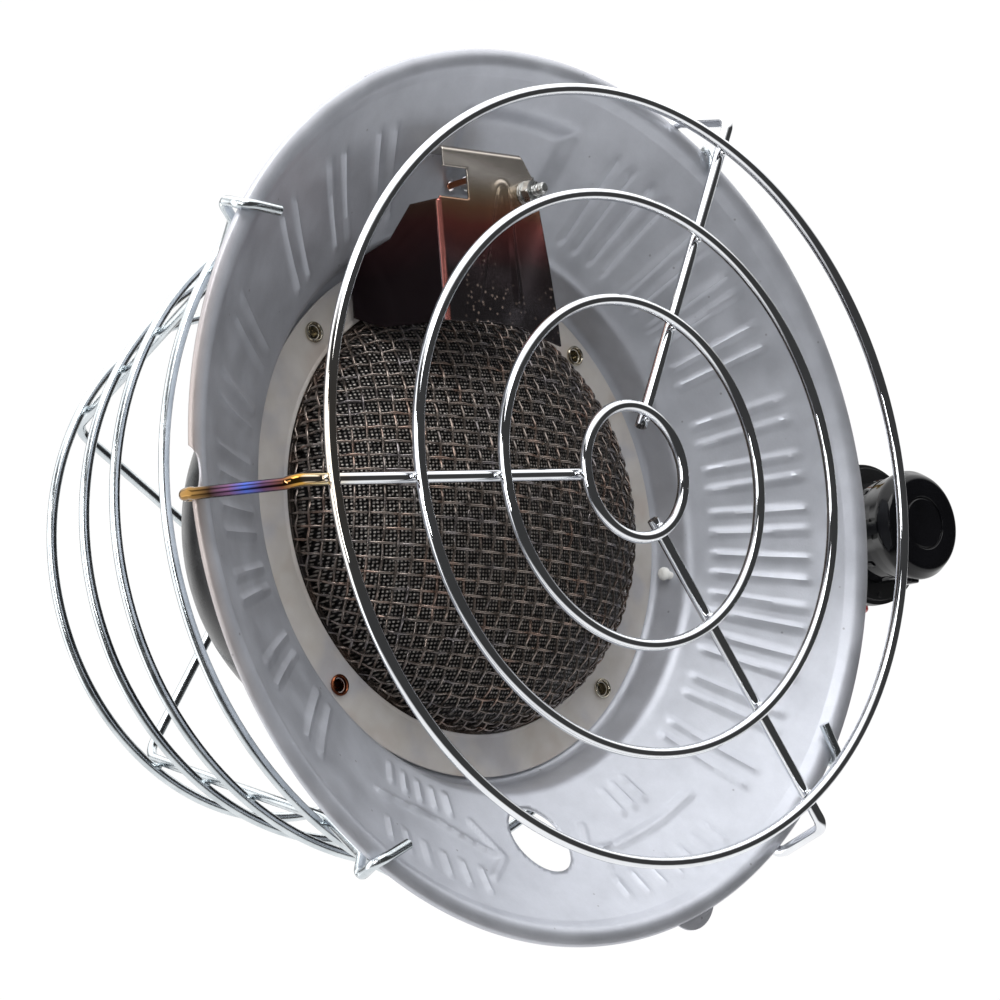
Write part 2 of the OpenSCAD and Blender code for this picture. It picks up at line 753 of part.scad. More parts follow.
module cover_bores(z0, h, r) {
    for (a = [45:90:315]) rotate(a) translate([screw_pcd_r, 0, z0]) cylinder(h = h, r = r);
}

module regulator_body() {
    color("silver") translate([0, reg_y, 0]) difference() {
        union() {
            translate([0, 0, reg_bottom]) cylinder(h = reg_h - 3, r = reg_r);
            translate([0, 0, reg_top - 3]) cylinder(h = 3, r = reg_r - 3);
            // the bosses to the valve and to the inlet
            rotate([90, 0, 0]) cylinder(h = reg_r + 5, r = nipple_r);
            rotate([-90, 0, 0]) cylinder(h = reg_r, r = 7.5);
        }
        translate([0, 0, reg_bottom - 1]) cylinder(h = 4, r = chamber_r);
        translate([0, -reg_r - 6, 0]) rotate([-90, 0, 0]) cylinder(h = reg_r, r = 2.2);
        translate([0, 2, 0]) rotate([-90, 0, 0]) cylinder(h = 30, r = nipple_r + run_fit);
        cover_bores(reg_bottom - 1, 8, 1.5 + run_fit);
    }
}

module diaphragm() {
    color("#222222") translate([0, reg_y, reg_bottom - 0.8]) difference() {
        cylinder(h = 0.8, r = reg_r - 0.5);
        cover_bores(-1, 4, 1.5 + run_fit);
    }
}

module diaphragm_plate() {
    color("gainsboro") translate([0, reg_y, reg_bottom - 0.8 - 1.2]) cylinder(h = 1.2, r = chamber_r - 4);
}

spring_h = cover_h - 2 - 2 - 1.2 - 0.8;
// The set spring under the diaphragm plate, as stacked turns
module regulator_spring() {
    turns = 6;
    color("silver") translate([0, reg_y, cover_bottom + 2]) for (i = [0:turns - 1])
        translate([0, 0, 0.7 + i * (spring_h - 1.4) / (turns - 1)]) rotate_extrude()
            translate([7, 0]) circle(r = 0.7, $fn = 16);
}

module regulator_cover() {
    color("silver") translate([0, reg_y, cover_bottom]) difference() {
        union() {
            cylinder(h = 3, r = reg_r - 8.5);
            translate([0, 0, 2]) cylinder(h = cover_h - 6, r = chamber_r);
            translate([0, 0, cover_h - 5 - 0.8]) cylinder(h = 5, r = reg_r);
        }
        translate([0, 0, 2]) cylinder(h = cover_h, r = chamber_r - 2);
        translate([0, 0, cover_h - 3]) cylinder(h = 5, r = chamber_r);
        cover_bores(-1, cover_h + 4, 1.5 + run_fit);
        translate([6, 0, -1]) cylinder(h = 5, r = 1, $fn = 24);
    }
}

module cover_screws() {
    head_z0 = cover_bottom + cover_h - 0.8 - 5;
    color("silver") translate([0, reg_y, 0]) {
        cover_bores(head_z0, 9, 1.5);
        cover_bores(head_z0 - 2, 2, 2.7);
    }
}

// ---- Tank inlet ----

module inlet_nipple() {
    color("goldenrod") difference() {
        union() {
            ring_y(reg_y + 3, thread_l + 8 - reg_y - 3 - 6, nipple_r);
            // the bull nose that seats in the tank valve
            ring_y(thread_l + 1, 5, thread_r - 3.4);
            translate([0, thread_l + 6, 0]) rotate([-90, 0, 0])
                cylinder(h = 6, r1 = thread_r - 3.4, r2 = 4.4);
        }
        ring_y(reg_y, thread_l - reg_y + 20, 1.8);
    }
}

module nipple_seal() {
    color("#222222") rotate([-90, 0, 0]) translate([0, 0, thread_l + 12 + 1])
        rotate_extrude() translate([3.1, 0]) circle(r = 1, $fn = 24);
}

module tank_nut() {
    color("goldenrod") difference() {
        union() {
            ring_y(0, thread_l, thread_r);
            ring_y(wheel_y, -wheel_y, thread_r + 1.8);
        }
        ring_y(wheel_y - 1, thread_l + 30, nipple_r + run_fit);
    }
}

module hand_wheel() {
    color("#151516") difference() {
        union() {
            ring_y(wheel_y, wheel_t, wheel_r - 1.5);
            ring_y(wheel_y + 1.5, wheel_t - 3, wheel_r);
        }
        ring_y(wheel_y - 1, wheel_t + 2, thread_r + 1.8);
        for (a = [0:30:330]) around(a) rod_y(0, wheel_r + 2, wheel_y - 1, wheel_t + 2, 4.5);
    }
}

reflector();
reflector_rivet();
burner_ring();
mesh_dome();
inner_screen();
flange_rivets();
burner_pan();
burner_shell();
gas_spreader();
front_guard();
rear_cage();
heat_shield();
shield_strap();
shield_screw();
shield_nut();
shield_washers();
thermocouple();
thermocouple_lead();
mixer_tube();
air_collar();
orifice_jet();
valve_body();
valve_spindle();
spindle_seal();
dial_plate();
dial_screws();
knob();
knob_screw();
knob_cap();
magnet_unit();
thermocouple_nut();
button_plunger();
safety_button();
button_spring();
regulator_body();
diaphragm();
diaphragm_plate();
regulator_spring();
regulator_cover();
cover_screws();
inlet_nipple();
nipple_seal();
tank_nut();
hand_wheel();
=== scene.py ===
from bisect import bisect_right
from math import atan2, cos, degrees, hypot, pi, radians, sin, tan

import bmesh
import bpy
from mathutils import Matrix, Vector


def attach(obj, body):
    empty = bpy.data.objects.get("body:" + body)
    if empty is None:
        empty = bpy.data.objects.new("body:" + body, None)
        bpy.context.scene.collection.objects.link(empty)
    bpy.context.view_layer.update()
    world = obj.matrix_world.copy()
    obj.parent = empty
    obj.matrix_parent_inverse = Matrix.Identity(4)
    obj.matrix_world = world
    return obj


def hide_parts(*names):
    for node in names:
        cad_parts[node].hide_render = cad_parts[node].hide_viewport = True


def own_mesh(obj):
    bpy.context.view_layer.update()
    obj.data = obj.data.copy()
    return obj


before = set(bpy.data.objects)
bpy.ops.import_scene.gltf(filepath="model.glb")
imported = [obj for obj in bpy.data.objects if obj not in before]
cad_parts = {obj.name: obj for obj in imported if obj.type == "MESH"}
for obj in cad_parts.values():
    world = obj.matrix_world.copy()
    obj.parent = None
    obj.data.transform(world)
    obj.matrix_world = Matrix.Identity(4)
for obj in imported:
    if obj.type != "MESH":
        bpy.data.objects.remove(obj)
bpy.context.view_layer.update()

# ---- Camera ----
# The heater is seen lying on its side, from the front and above, with its own up towards the
# left.

bpy.context.scene.view_settings.view_transform = "Standard"
looking = Vector((0.15109, 0.73225, -0.66407)).normalized()
across = looking.cross(Vector((0.9854, -0.16488, 0.04238))).normalized()
camera = bpy.data.objects.new("camera", bpy.data.cameras.new("camera"))
camera.data.lens = 138.05
camera.data.clip_end = 50
camera.matrix_world = Matrix.Translation((-0.19276, -1.05047, 1.0544)) @ Matrix(
    (across, across.cross(looking), -looking)).transposed().to_4x4()
bpy.context.scene.collection.objects.link(camera)
bpy.context.scene.camera = camera

# ---- Dish ----
# One sheet of 0.8 mm aluminised steel, pressed with a recess for the burner, raised beads on
# its cone, a pocket for the heat shield, and a rolled bead with a turned lip round its rim.

MM = 0.001
HEAD = Vector((0, -134, 200))
STEEL_T = 0.8


def colour(code):
    """The linear colour of an sRGB hex code."""
    tones = [int(code[i:i + 2], 16) / 255 for i in (1, 3, 5)]
    return [t / 12.92 if t <= 0.04045 else ((t + 0.055) / 1.055) ** 2.4 for t in tones] + [1.0]


def add(tree, kind, inputs=None, stops=(), **settings):
    """Adds a node, with its settings, and with its inputs set or linked to (node, output)."""
    node = tree.nodes.new("ShaderNode" + kind)
    for name, value in settings.items():
        setattr(node, name, value)
    for name, value in (inputs or {}).items():
        if isinstance(value, tuple) and isinstance(value[0], bpy.types.Node):
            tree.links.new(value[0].outputs[value[1]], node.inputs[name])
        else:
            node.inputs[name].default_value = colour(value) if isinstance(value, str) else value
    for i, (place, code) in enumerate(stops):
        stop = node.color_ramp.elements[i] if i < 2 else node.color_ramp.elements.new(place)
        stop.position = place
        stop.color = colour(code)
    return node


def finish(name, tones, metallic, gloss, patch, grain, relief, **sockets):
    """A surface of two close tones in patches, whose grain breaks up its gloss.
    Patch and grain are sizes in millimetres, relief is the height of the grain."""
    made = bpy.data.materials.new(name)
    made.use_nodes = True
    tree = made.node_tree
    shader = tree.nodes["Principled BSDF"]
    shader.inputs["Metallic"].default_value = metallic
    for socket, value in sockets.items():
        shader.inputs[socket.replace("_", " ")].default_value = value
    where = (add(tree, "TexCoord"), "Object")
    patches = add(tree, "TexNoise", {"Vector": where, "Scale": 1 / (patch * MM), "Detail": 4.0})
    even = add(tree, "MapRange", {0: (patches, 0), 1: 0.32, 2: 0.68})
    paint = add(tree, "Mix", {0: (even, 0), 6: tones[0], 7: tones[1]}, data_type="RGBA")
    grains = add(tree, "TexNoise", {"Vector": where, "Scale": 1 / (grain * MM), "Detail": 3.0})
    both = add(tree, "Mix", {0: 0.5, 2: (grains, 0), 3: (patches, 0)})
    worn = add(tree, "MapRange", {0: (both, 0), 1: 0.35, 2: 0.65, 3: gloss[0], 4: gloss[1]})
    bump = add(tree, "Bump", {"Height": (grains, 0), "Distance": relief * MM, "Strength": 1.0})
    tree.links.new(paint.outputs[2], shader.inputs["Base Color"])
    tree.links.new(worn.outputs[0], shader.inputs["Roughness"])
    tree.links.new(bump.outputs[0], shader.inputs["Normal"])
    return made


def stain(made, tint, mask):
    """Lays a tint over a finish where the mask is one. Both may be a value or a link."""
    tree = made.node_tree
    base = tree.nodes["Principled BSDF"].inputs["Base Color"]
    below = base.links[0].from_socket
    layer = add(tree, "Mix", {0: mask, 7: tint}, data_type="RGBA")
    tree.links.new(below, layer.inputs[6])
    tree.links.new(layer.outputs[2], base)


def own_place(made):
    """The object coordinates that a finish is drawn in."""
    return next(n for n in made.node_tree.nodes if n.bl_idname == "ShaderNodeTexCoord"), "Object"


def placed(made):
    """The object coordinates of a finish, split in X, Y and Z."""
    return add(made.node_tree, "SeparateXYZ", {0: own_place(made)})


def clouded(made, patch, share, stops):
    """Lays soft clouds of heat colours over a finish. The patch is a size in millimetres."""
    tree = made.node_tree
    cloud = add(tree, "TexNoise", {"Vector": own_place(made), "Scale": 1 / (patch * MM),
                                   "Detail": 2.0})
    tints = add(tree, "ValToRGB", {0: (cloud, 0)}, stops=stops)
    stain(made, (tints, 0), share)


def piece(name, bm, made, body, *nodes, slot, at=(0, 0, 0), crease=35):
    """Cleans a shape drawn in millimetres, sets it in the assembly and gives it its finish."""
    bmesh.ops.translate(bm, vec=at, verts=bm.verts)
    bmesh.ops.scale(bm, vec=(MM, MM, MM), verts=bm.verts)
    bmesh.ops.remove_doubles(bm, verts=bm.verts, dist=0.001 * MM)
    bmesh.ops.recalc_face_normals(bm, faces=bm.faces)
    for face in bm.faces:
        face.smooth = True
    for edge in bm.edges:
        edge.smooth = edge.calc_face_angle(0) < radians(crease)
    shape = bpy.data.objects.new(name, bpy.data.meshes.new(name))
    bm.to_mesh(shape.data)
    bm.free()
    shape.data.materials.append(made)
    bpy.context.scene.collection.objects.link(shape)
    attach(shape, body)
    if nodes:
        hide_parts(*nodes)
    return shape


def sheet_of(shape, thickness):
    """Gives a surface the thickness of its sheet, half to each side."""
    wall = shape.modifiers.new("sheet", "SOLIDIFY")
    wall.thickness = thickness * MM
    wall.offset = 0
    wall.use_even_offset = True
    return shape


def rounded(points, radii, steps=4):
    """A path whose inner corners are rounded by the radii in the list."""
    path = [Vector(points[0])]
    for i in range(1, len(points) - 1):
        corner = Vector(points[i])
        if not radii[i]:
            path.append(corner)
            continue
        back = (Vector(points[i - 1]) - corner).normalized()
        on = (Vector(points[i + 1]) - corner).normalized()
        half = back.angle(on) / 2
        middle = corner + (back + on).normalized() * radii[i] / sin(half)
        start = corner + back * radii[i] / tan(half) - middle
        end = corner + on * radii[i] / tan(half) - middle
        path += [middle + start.lerp(end, k / steps).normalized() * radii[i]
                 for k in range(steps + 1)]
    return path + [Vector(points[-1])]


def divided(path, step):
    """The path with points added until no gap is longer than the step."""
    full = [Vector(path[0])]
    for start, end in zip(path, path[1:]):
        start, end = Vector(start), Vector(end)
        parts = max(1, round((end - start).length / step + 0.3))
        full += [start.lerp(end, k / parts) for k in range(1, parts + 1)]
    return full


def spun(outline, steps, closed=False, bm=None, at=(0, 0, 0), turn=Matrix()):
    """A shape turned about the Y axis from (radius, depth) points, then turned and placed."""
    bm = bm or bmesh.new()
    old = set(bm.verts)
    points = [bm.verts.new((0, depth, radius)) for radius, depth in outline]
    ends = points[1:] + points[:1] if closed else points[1:]
    lines = [bm.edges.new(pair) for pair in zip(points, ends)]
    bmesh.ops.spin(bm, geom=points + lines, cent=(0, 0, 0), axis=(0, 1, 0), angle=2 * pi,
                   steps=steps, use_merge=True)
    new = [v for v in bm.verts if v not in old]
    bmesh.ops.remove_doubles(bm, verts=new, dist=0.0005)
    new = [v for v in bm.verts if v not in old]
    bmesh.ops.transform(bm, matrix=Matrix.Translation(at) @ turn.to_4x4(), verts=new)
    return bm


def polar(angle, radius, depth):
    """A point of the head, at an angle from straight up towards +X, in degrees."""
    return Vector((radius * sin(radians(angle)), depth, radius * cos(radians(angle))))


def eased(share):
    """A soft step from 0 to 1."""
    share = min(max(share, 0), 1)
    return share * share * (3 - 2 * share)


def pierce(bm, start, end, radius, slope=0.0):
    """Opens a hole or a slot along the axis, from start to end in (x, z), and draws the sheet
    to its edge. Slope is the growth of the sheet's depth with its distance from the axis."""
    start, end = Vector(start), Vector(end)
    run = end - start

    def nearest(x, z):
        share = (Vector((x, z)) - start).dot(run) / run.length_squared if run.length else 0
        return start + run * min(max(share, 0), 1)

    def away(point):
        return (Vector((point.x, point.z)) - nearest(point.x, point.z)).length

    reach = radius + 3
    near = [f for f in bm.faces if away(f.calc_center_median()) < reach]
    bmesh.ops.delete(bm, geom=[f for f in near if away(f.calc_center_median()) < radius],
                     context="FACES")
    for vert in bm.verts:
        if vert.is_boundary and away(vert.co) < radius + 1.4:
            foot = nearest(vert.co.x, vert.co.z)
            out = (Vector((vert.co.x, vert.co.z)) - foot).normalized() * radius
            before = hypot(vert.co.x, vert.co.z)
            vert.co.x, vert.co.z = foot.x + out.x, foot.y + out.y
            vert.co.y += slope * (hypot(vert.co.x, vert.co.z) - before)


RIVETS_R, RIVET_HOLE_R = 83.3, 2.25


def open_for_rivets(bm):
    """Opens the four holes of the flange rivets."""
    for k in range(4):
        rivet_at = polar(45 + 90 * k, RIVETS_R, 0).xz
        pierce(bm, rivet_at, rivet_at, RIVET_HOLE_R)


RECESS_R, RECESS_DEPTH, CONE_R, CONE_DEPTH = 96, 34, 141.6, 1.5
CONE_SLOPE = (CONE_DEPTH - RECESS_DEPTH) / (CONE_R - RECESS_R)
SLANT = hypot(1, CONE_SLOPE)


def unrolled(angle, radius, zero):
    """The place of a point of the cone when the cone is rolled out flat."""
    turn = radians((angle - zero + 180) % 360 - 180) / SLANT
    return Vector((radius * SLANT * cos(turn), radius * SLANT * sin(turn)))


def laid_flat(half, line):
    """A ridge on the rolled out cone: its half width, its angle, its reach and its points."""
    zero = sum(angle for angle, radius in line) / len(line)
    reach = max(abs(angle - zero) for angle, radius in line) + 2
    return half, zero, reach, [unrolled(angle, radius, zero) for angle, radius in line]


def ridge_height(angle, radius, ridges):
    """How far the pressed ridges lift the sheet at a point of the cone, from 0 to 1."""
    height = 0
    for half, zero, reach, flat in ridges:
        if abs((angle - zero + 180) % 360 - 180) > reach:
            continue
        here = unrolled(angle, radius, zero)
        for start, end in zip(flat, flat[1:]):
            run = end - start
            share = min(max((here - start).dot(run) / run.length_squared, 0), 1)
            away = (here - start - run * share).length
            height = max(height, eased((half + 0.9 - away) / 1.5))
    return height


# pairs of narrow beads stiffen the cone all round
bead_angles = [-39.5, -27.8, -15.2, -5.4, 3, 13.2, 25.1, 43.2, 56, 67.1, 115.1, 123, 133, 142,
               151.3, 163.5, 172.5, 181, 189, 197, 205, 215, 226]
ridges = [(0.9, [(a + side, 104), (a + side * 0.9, 131)]) for a in bead_angles
          for side in (-1.9, 1.9)]
# a plain arrow at each side of the lighting hole, and short beads beside them
ridges += [(0.9, line) for line in (
    [(-54.9, 117.6), (-66.7, 113.4), (-80, 120)], [(-77, 109.5), (-81.5, 120), (-77, 129.6)],
    [(-125.2, 120.6), (-116.1, 120.6), (-106.2, 120.5), (-100.5, 119)],
    [(-102.5, 111.5), (-99.8, 119), (-101.6, 126)])]
ridges += [(0.8, [(a, 102), (a, 109)]) for a in (-58.5, -62, -65.5, -69, -72.5)]
ridges += [(0.8, [(a, 127), (a, 135)]) for a in (-56.5, -60.2, -63.9, -67.6, -71.3, -75)]
ridges += [(0.8, [(a, 130), (a, 137)]) for a in (-101, -104.5, -108, -111.5, -115, -118.5, -122)]
ridges += [(0.8, [(a, 104), (a, 113)]) for a in (-112, -115, -118)]
ridges = [laid_flat(*ridge) for ridge in ridges]
POCKET = (94, 10.5, 120.5, 10.5)

dish_path = rounded([(79, 48.2), (92, 48.2), (RECESS_R, RECESS_DEPTH), (CONE_R, CONE_DEPTH),
                     (145.6, -3), (149.6, -1.5), (149.6, -0.4)], [0, 5.5, 8, 3, 4.4, 1, 0], 6)
cone_end = next(i for i, p in enumerate(dish_path) if p.x > CONE_R - 4)
dish_outline = divided(dish_path[:cone_end + 1], 1.5) + divided(dish_path[cone_end:], 3)[1:]
dish = spun(dish_outline, 600)
for vert in dish.verts:
    radius = hypot(vert.co.x, vert.co.z)
    angle = degrees(atan2(vert.co.x, vert.co.z))
    if RECESS_R < radius < CONE_R and vert.co.y < RECESS_DEPTH + 1:
        # the cone is slightly hollow, like a bowl
        share = (radius - RECESS_R) / (CONE_R - RECESS_R)
        vert.co.y += 5.6 * share * (1 - share)
    if RECESS_R + 2 < radius < CONE_R - 1:
        lift = 0.75 * ridge_height(angle, radius, ridges)
        off_side = abs((angle - POCKET[0] + 180) % 360 - 180) - POCKET[1]
        outside = (radius * radians(off_side), abs(radius - POCKET[2]) - POCKET[3])
        edge = hypot(max(outside[0], 0), max(outside[1], 0)) + min(max(outside), 0)
        lift -= 2.8 * eased((3.5 - edge) / 7)
        vert.co.y -= lift / SLANT
        inward = lift * CONE_SLOPE / SLANT / radius
        vert.co.x += vert.co.x * inward
        vert.co.z += vert.co.z * inward
    elif radius > 147:
        # the scallop in the lip at the top
        aside = 150 * radians((angle + 180) % 360 - 180)
        if abs(aside) < 6.5:
            bitten = min(radius, 149.6 - 2.2 * (1 - (aside / 6.5) ** 2) ** 0.5)
            vert.co.x *= bitten / radius
            vert.co.z *= bitten / radius
            vert.co.y = min(vert.co.y, -3 + 0.375 * (bitten - 145.6))
pierce(dish, (-113, -3), (-113, -3), 11.3, CONE_SLOPE)
# the slot for the strap, and the hole for the lead beside it
pierce(dish, (110.5, -5), (110.5, 3.5), 2.5, CONE_SLOPE)
pierce(dish, (109, 10.5), (109, 10.5), 1.7, CONE_SLOPE)
open_for_rivets(dish)
# Aluminised steel, pressed: a soft satin grey that blurs what it mirrors, with faint cloudy
# patches from the bath and a fine drawn-out grain (0.3 mm, drawn at 0.8 mm so that it shows).
aluminised = finish("aluminised_steel_pressed", ("#b9bcc4", "#cacdd5"), 0.7, (0.4, 0.54),
                    14, 0.8, 0.03)
spot = placed(aluminised)
# heat has browned the lip at the top, and small dark specks of scale lie here and there
tree = aluminised.node_tree
where = own_place(aluminised)
off_axis = add(tree, "VectorMath", {0: where, 1: (0, 0, 0.2)}, operation="SUBTRACT")
across_axis = add(tree, "VectorMath", {0: (off_axis, 0), 1: (1, 0, 1)}, operation="MULTIPLY")
far_out = add(tree, "VectorMath", {0: (across_axis, 0)}, operation="LENGTH")
at_lip = add(tree, "MapRange", {0: (far_out, 1), 1: 0.1462, 2: 0.1492})
high_up = add(tree, "MapRange", {0: (spot, 2), 1: 0.325, 2: 0.35, 3: 0.08, 4: 0.6})
browned = add(tree, "Math", {0: (at_lip, 0), 1: (high_up, 0)}, operation="MULTIPLY")
stain(aluminised, "#8a6f58", (browned, 0))
specks = add(tree, "TexVoronoi", {"Vector": where, "Scale": 1 / (9 * MM)})
speck = add(tree, "MapRange", {0: (specks, "Distance"), 1: 0.06, 2: 0.035, 4: 0.45})
stain(aluminised, "#5b5a5c", (speck, 0))
dish = sheet_of(piece("reflector_dish", dish, aluminised, "heater", "reflector",
                      slot="dish_steel", at=HEAD), STEEL_T)

# The small round tab stands out from the turned lip, where the packing clips hold the dish.
tab = bmesh.new()
bmesh.ops.create_circle(tab, cap_ends=True, segments=64, radius=11.5)
bmesh.ops.bisect_plane(tab, geom=tab.faces[:] + tab.edges[:] + tab.verts[:], dist=0.001,
                       plane_co=(0, 7, 0), plane_no=(0, 1, 0), clear_inner=True)
bmesh.ops.rotate(tab, cent=(0, 0, 0), matrix=Matrix.Rotation(radians(90), 3, "X"),
                 verts=tab.verts)
bmesh.ops.translate(tab, vec=(0, -1.0, 142.4), verts=tab.verts)
bmesh.ops.rotate(tab, cent=(0, 0, 0), matrix=Matrix.Rotation(radians(251), 3, "Y"),
                 verts=tab.verts)
tab = sheet_of(piece("dish_tab", tab, aluminised, "heater", slot="dish_steel", at=HEAD), STEEL_T)
soft = tab.modifiers.new("edges", "BEVEL")
soft.width, soft.segments = 0.2 * MM, 2

# ---- Dish rivet ----
# A small steel rivet with a domed head closes the wall of the recess beside the burner.
# It is dipped in white enamel.

white_enamel = finish("white_enamel_dipped", ("#efefec", "#e4e4e0"), 0.0, (0.22, 0.32), 3, 0.6,
                      0.01)
rivet_line = Matrix.Rotation(radians(191.7), 4, "Y") @ Matrix.Rotation(radians(90), 4, "X")
stud = spun(rounded([(0, 89), (2.2, 89.1), (2.4, 91.4), (1.5, 91.5), (1.5, 94.6), (2.5, 94.8),
                     (2.3, 96.2), (0, 96.3)], [0, 1.6, 0.2, 0.1, 0.1, 0.2, 0.5, 0]), 40,
            turn=rivet_line)
piece("recess_rivet", stud, white_enamel, "heater", "reflector_rivet", slot="white_enamel",
      at=HEAD + Vector((0, 40.9, 0)))

# ---- Burner ring ----
# A flat ring of bare steel with a rolled inner edge clamps the mesh to the dish. The burner
# has warmed it, so it has straw and faint blue clouds.

bare_steel = finish("bare_steel_pressed", ("#cbc6c2", "#d9d6d4"), 0.5, (0.38, 0.5), 9, 0.7, 0.01)
clouded(bare_steel, 22.2, 0.3,
        ((0.36, "#a4a8ba"), (0.45, "#cdc7c3"), (0.56, "#d4cdc2"), (0.66, "#bba28c")))
ring = spun(divided(rounded([(82, 46), (89.5, 46), (89.5, 46.8), (75, 46.8), (75, 45.6),
                             (76.4, 46), (82, 46)], [0, 0.3, 0.2, 0.3, 0.25, 0.6, 0]), 0.9), 480)
open_for_rivets(ring)
piece("clamp_ring", ring, bare_steel, "heater", "burner_ring", slot="bare_steel", at=HEAD)

# ---- Mesh dome ----
# Wire cloth of a heat-resisting alloy, crimped before it was woven, 5 mm from wire to wire,
# and drawn to a dome. A flat collar holds its rim under the ring.

MESH_PITCH, MESH_WIRE, MESH_R, MESH_H = 5.0, 0.86, 73.7, 35.0
dome_path = [Vector((MESH_R * sin(radians(a)), 46 - MESH_H * cos(radians(a))))
             for a in range(0, 91, 3)] + [Vector((MESH_R, 46.9))]
along = [0]
for start, end in zip(dome_path, dome_path[1:]):
    along.append(along[-1] + (end - start).length)


def on_dome(u, v, lift):
    """A point of the dome at (u, v) measured along the cloth, lifted off its surface."""
    far = min(hypot(u, v), along[-1])
    i = min(bisect_right(along, far), len(along) - 1) - 1
    share = (far - along[i]) / (along[i + 1] - along[i])
    run = (dome_path[i + 1] - dome_path[i]).normalized()
    spot = dome_path[i].lerp(dome_path[i + 1], share) + Vector((-run.y, run.x)) * -lift
    way = (u / far, v / far) if far > 0 else (0, 0)
    return Vector((way[0] * spot.x, spot.y, way[1] * spot.x))


def woven(pitch, thickness, turn, steps):
    """The wires of a plain weave on the dome, each bent over and under those that it crosses."""
    count = int(along[-1] / pitch)
    cloth = []
    for row in range(-count, count + 1):
        far = (along[-1] ** 2 - (row * pitch) ** 2) ** 0.5
        for other in (0, 1):
            n = int(far / pitch * steps)
            line = []
            for k in range(-n, n + 1):
                run = k * pitch / steps
                wave = cos(pi * (run / pitch + row + other))
                lift = thickness * 0.5 * max(-1, min(1, 1.25 * wave))
                u, v = (run, row * pitch) if other == 0 else (row * pitch, run)
                line.append(on_dome(u * cos(turn) - v * sin(turn), u * sin(turn) + v * cos(turn),
                                    lift))
            cloth.append(line)
    return cloth


def wired(bm, paths, thickness, sides=8, closed=False):
    """Adds round wires that follow paths."""
    line = bpy.data.curves.new("wire", "CURVE")
    line.dimensions = "3D"
    line.bevel_depth = thickness / 2
    line.bevel_resolution = sides // 2 - 2
    line.use_fill_caps = not closed
    for path in paths:
        spline = line.splines.new("POLY")
        spline.points.add(len(path) - 1)
        for point, place in zip(spline.points, path):
            point.co = (*place, 1)
        spline.use_cyclic_u = closed
    holder = bpy.data.objects.new("wire", line)
    mesh = bpy.data.meshes.new_from_object(holder)
    bm.from_mesh(mesh)
    bpy.data.objects.remove(holder)
    bpy.data.curves.remove(line)
    bpy.data.meshes.remove(mesh)
    return bm


# Iron-chromium-aluminium wire, scaled by the flame: dark and dull, with pinkish and straw
# colours in places, and rubbed bright on top of its bends.
scaled_wire = finish("heat_scaled_alloy_wire", ("#5f5954", "#958d87"), 0.85, (0.14, 0.28), 5, 0.5,
                     0.02)
clouded(scaled_wire, 11.1, 0.35,
        ((0.35, "#84828c"), (0.45, "#7c716b"), (0.55, "#a09086"), (0.66, "#b8917e")))
cloth = wired(bmesh.new(), woven(MESH_PITCH, MESH_WIRE, radians(-4.5), 7), MESH_WIRE, 6)
spun(divided(rounded([(72.8, 45.8), (73.2, 47.2), (87, 47.2), (87, 47.6), (72.9, 47.6),
                      (72.4, 45.8)], [0, 0.3, 0, 0, 0.3, 0]), 1.3), 320, closed=True, bm=cloth)
open_for_rivets(cloth)
piece("burner_cloth", cloth, scaled_wire, "heater", "mesh_dome", slot="burner_mesh", at=HEAD,
      crease=60)

# ---- Inner screen ----
# A dome of fine woven wire lies under the coarse cloth. Its wires are 0.8 mm apart, and are
# drawn 1.2 mm apart so that they show. Fine woven alloy wire: dark, with bright sparks on the
# bends of the wires; the black between the bends is painted shade, for the dips of the wires
# and the dark inside of the pan seen through the holes.

fine_cloth = finish("fine_woven_alloy_wire", ("#6b6561", "#d0cac4"), 0.7, (0.22, 0.4), 2, 0.6,
                    0.01)
tree = fine_cloth.node_tree
spot = placed(fine_cloth)
waves = [add(tree, "Math", {0: (spot, k), 1: pi / (1.2 * MM)}, operation="MULTIPLY")
         for k in (0, 2)]
sines = [add(tree, "Math", {0: (wave, 0)}, operation="SINE") for wave in waves]
weave = add(tree, "Math", {0: (sines[0], 0), 1: (sines[1], 0)}, operation="MULTIPLY")
bends = add(tree, "Math", {0: (weave, 0)}, operation="ABSOLUTE")
# painted shade: near black between the bends of the wires and in the holes
painted_shade_holes = add(tree, "MapRange", {0: (bends, 0), 1: 0.88, 2: 0.5})
stain(fine_cloth, "#0b0a0a", (painted_shade_holes, 0))
relief = add(tree, "Bump", {"Height": (weave, 0), "Distance": 0.3 * MM, "Strength": 1.0})
tree.links.new(relief.outputs[0], tree.nodes["Principled BSDF"].inputs["Normal"])


def clothe(node, made):
    """Gives a solid of the frame its finish."""
    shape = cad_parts[node]
    shape.data.materials.clear()
    shape.data.materials.append(made)


clothe("inner_screen", fine_cloth)

# ---- Flange rivets ----
# Four hollow rivets are rolled over at both ends, and hold ring, cloth, dish and pan. They
# are nickel plated, tinted straw by the heat, and the hottest has gone bronze brown.

nickelled = finish("nickel_plated_steel_rolled", ("#b9b09c", "#cfc9ba"), 1.0, (0.14, 0.26), 3,
                   0.5, 0.01)
bronzed = finish("nickel_plated_steel_burnt", ("#6b3a26", "#8a5136"), 1.0, (0.16, 0.3), 3, 0.5,
                 0.01)
for k in range(4):
    eyelet = spun(rounded([(0, 49.6), (1.5, 49.5), (2.1, 47.6), (2.6, 45.2), (3.1, 44.5),
                           (3.65, 45.2), (3.4, 46.1), (2.2, 46), (2.2, 49.6), (3.3, 49.5),
                           (3.4, 50.4), (1.6, 50.9), (0, 50.9)],
                          [0, 0.6, 1.5, 0.5, 0.3, 0.4, 0.2, 0.2, 0.1, 0.3, 0.4, 0.5, 0]), 40,
                  at=polar(45 + 90 * k, RIVETS_R, 0))
    piece(f"eyelet_{k + 1}", eyelet, bronzed if k == 3 else nickelled, "heater",
          *(["flange_rivets"] if k == 0 else []), slot="eyelet", at=HEAD)

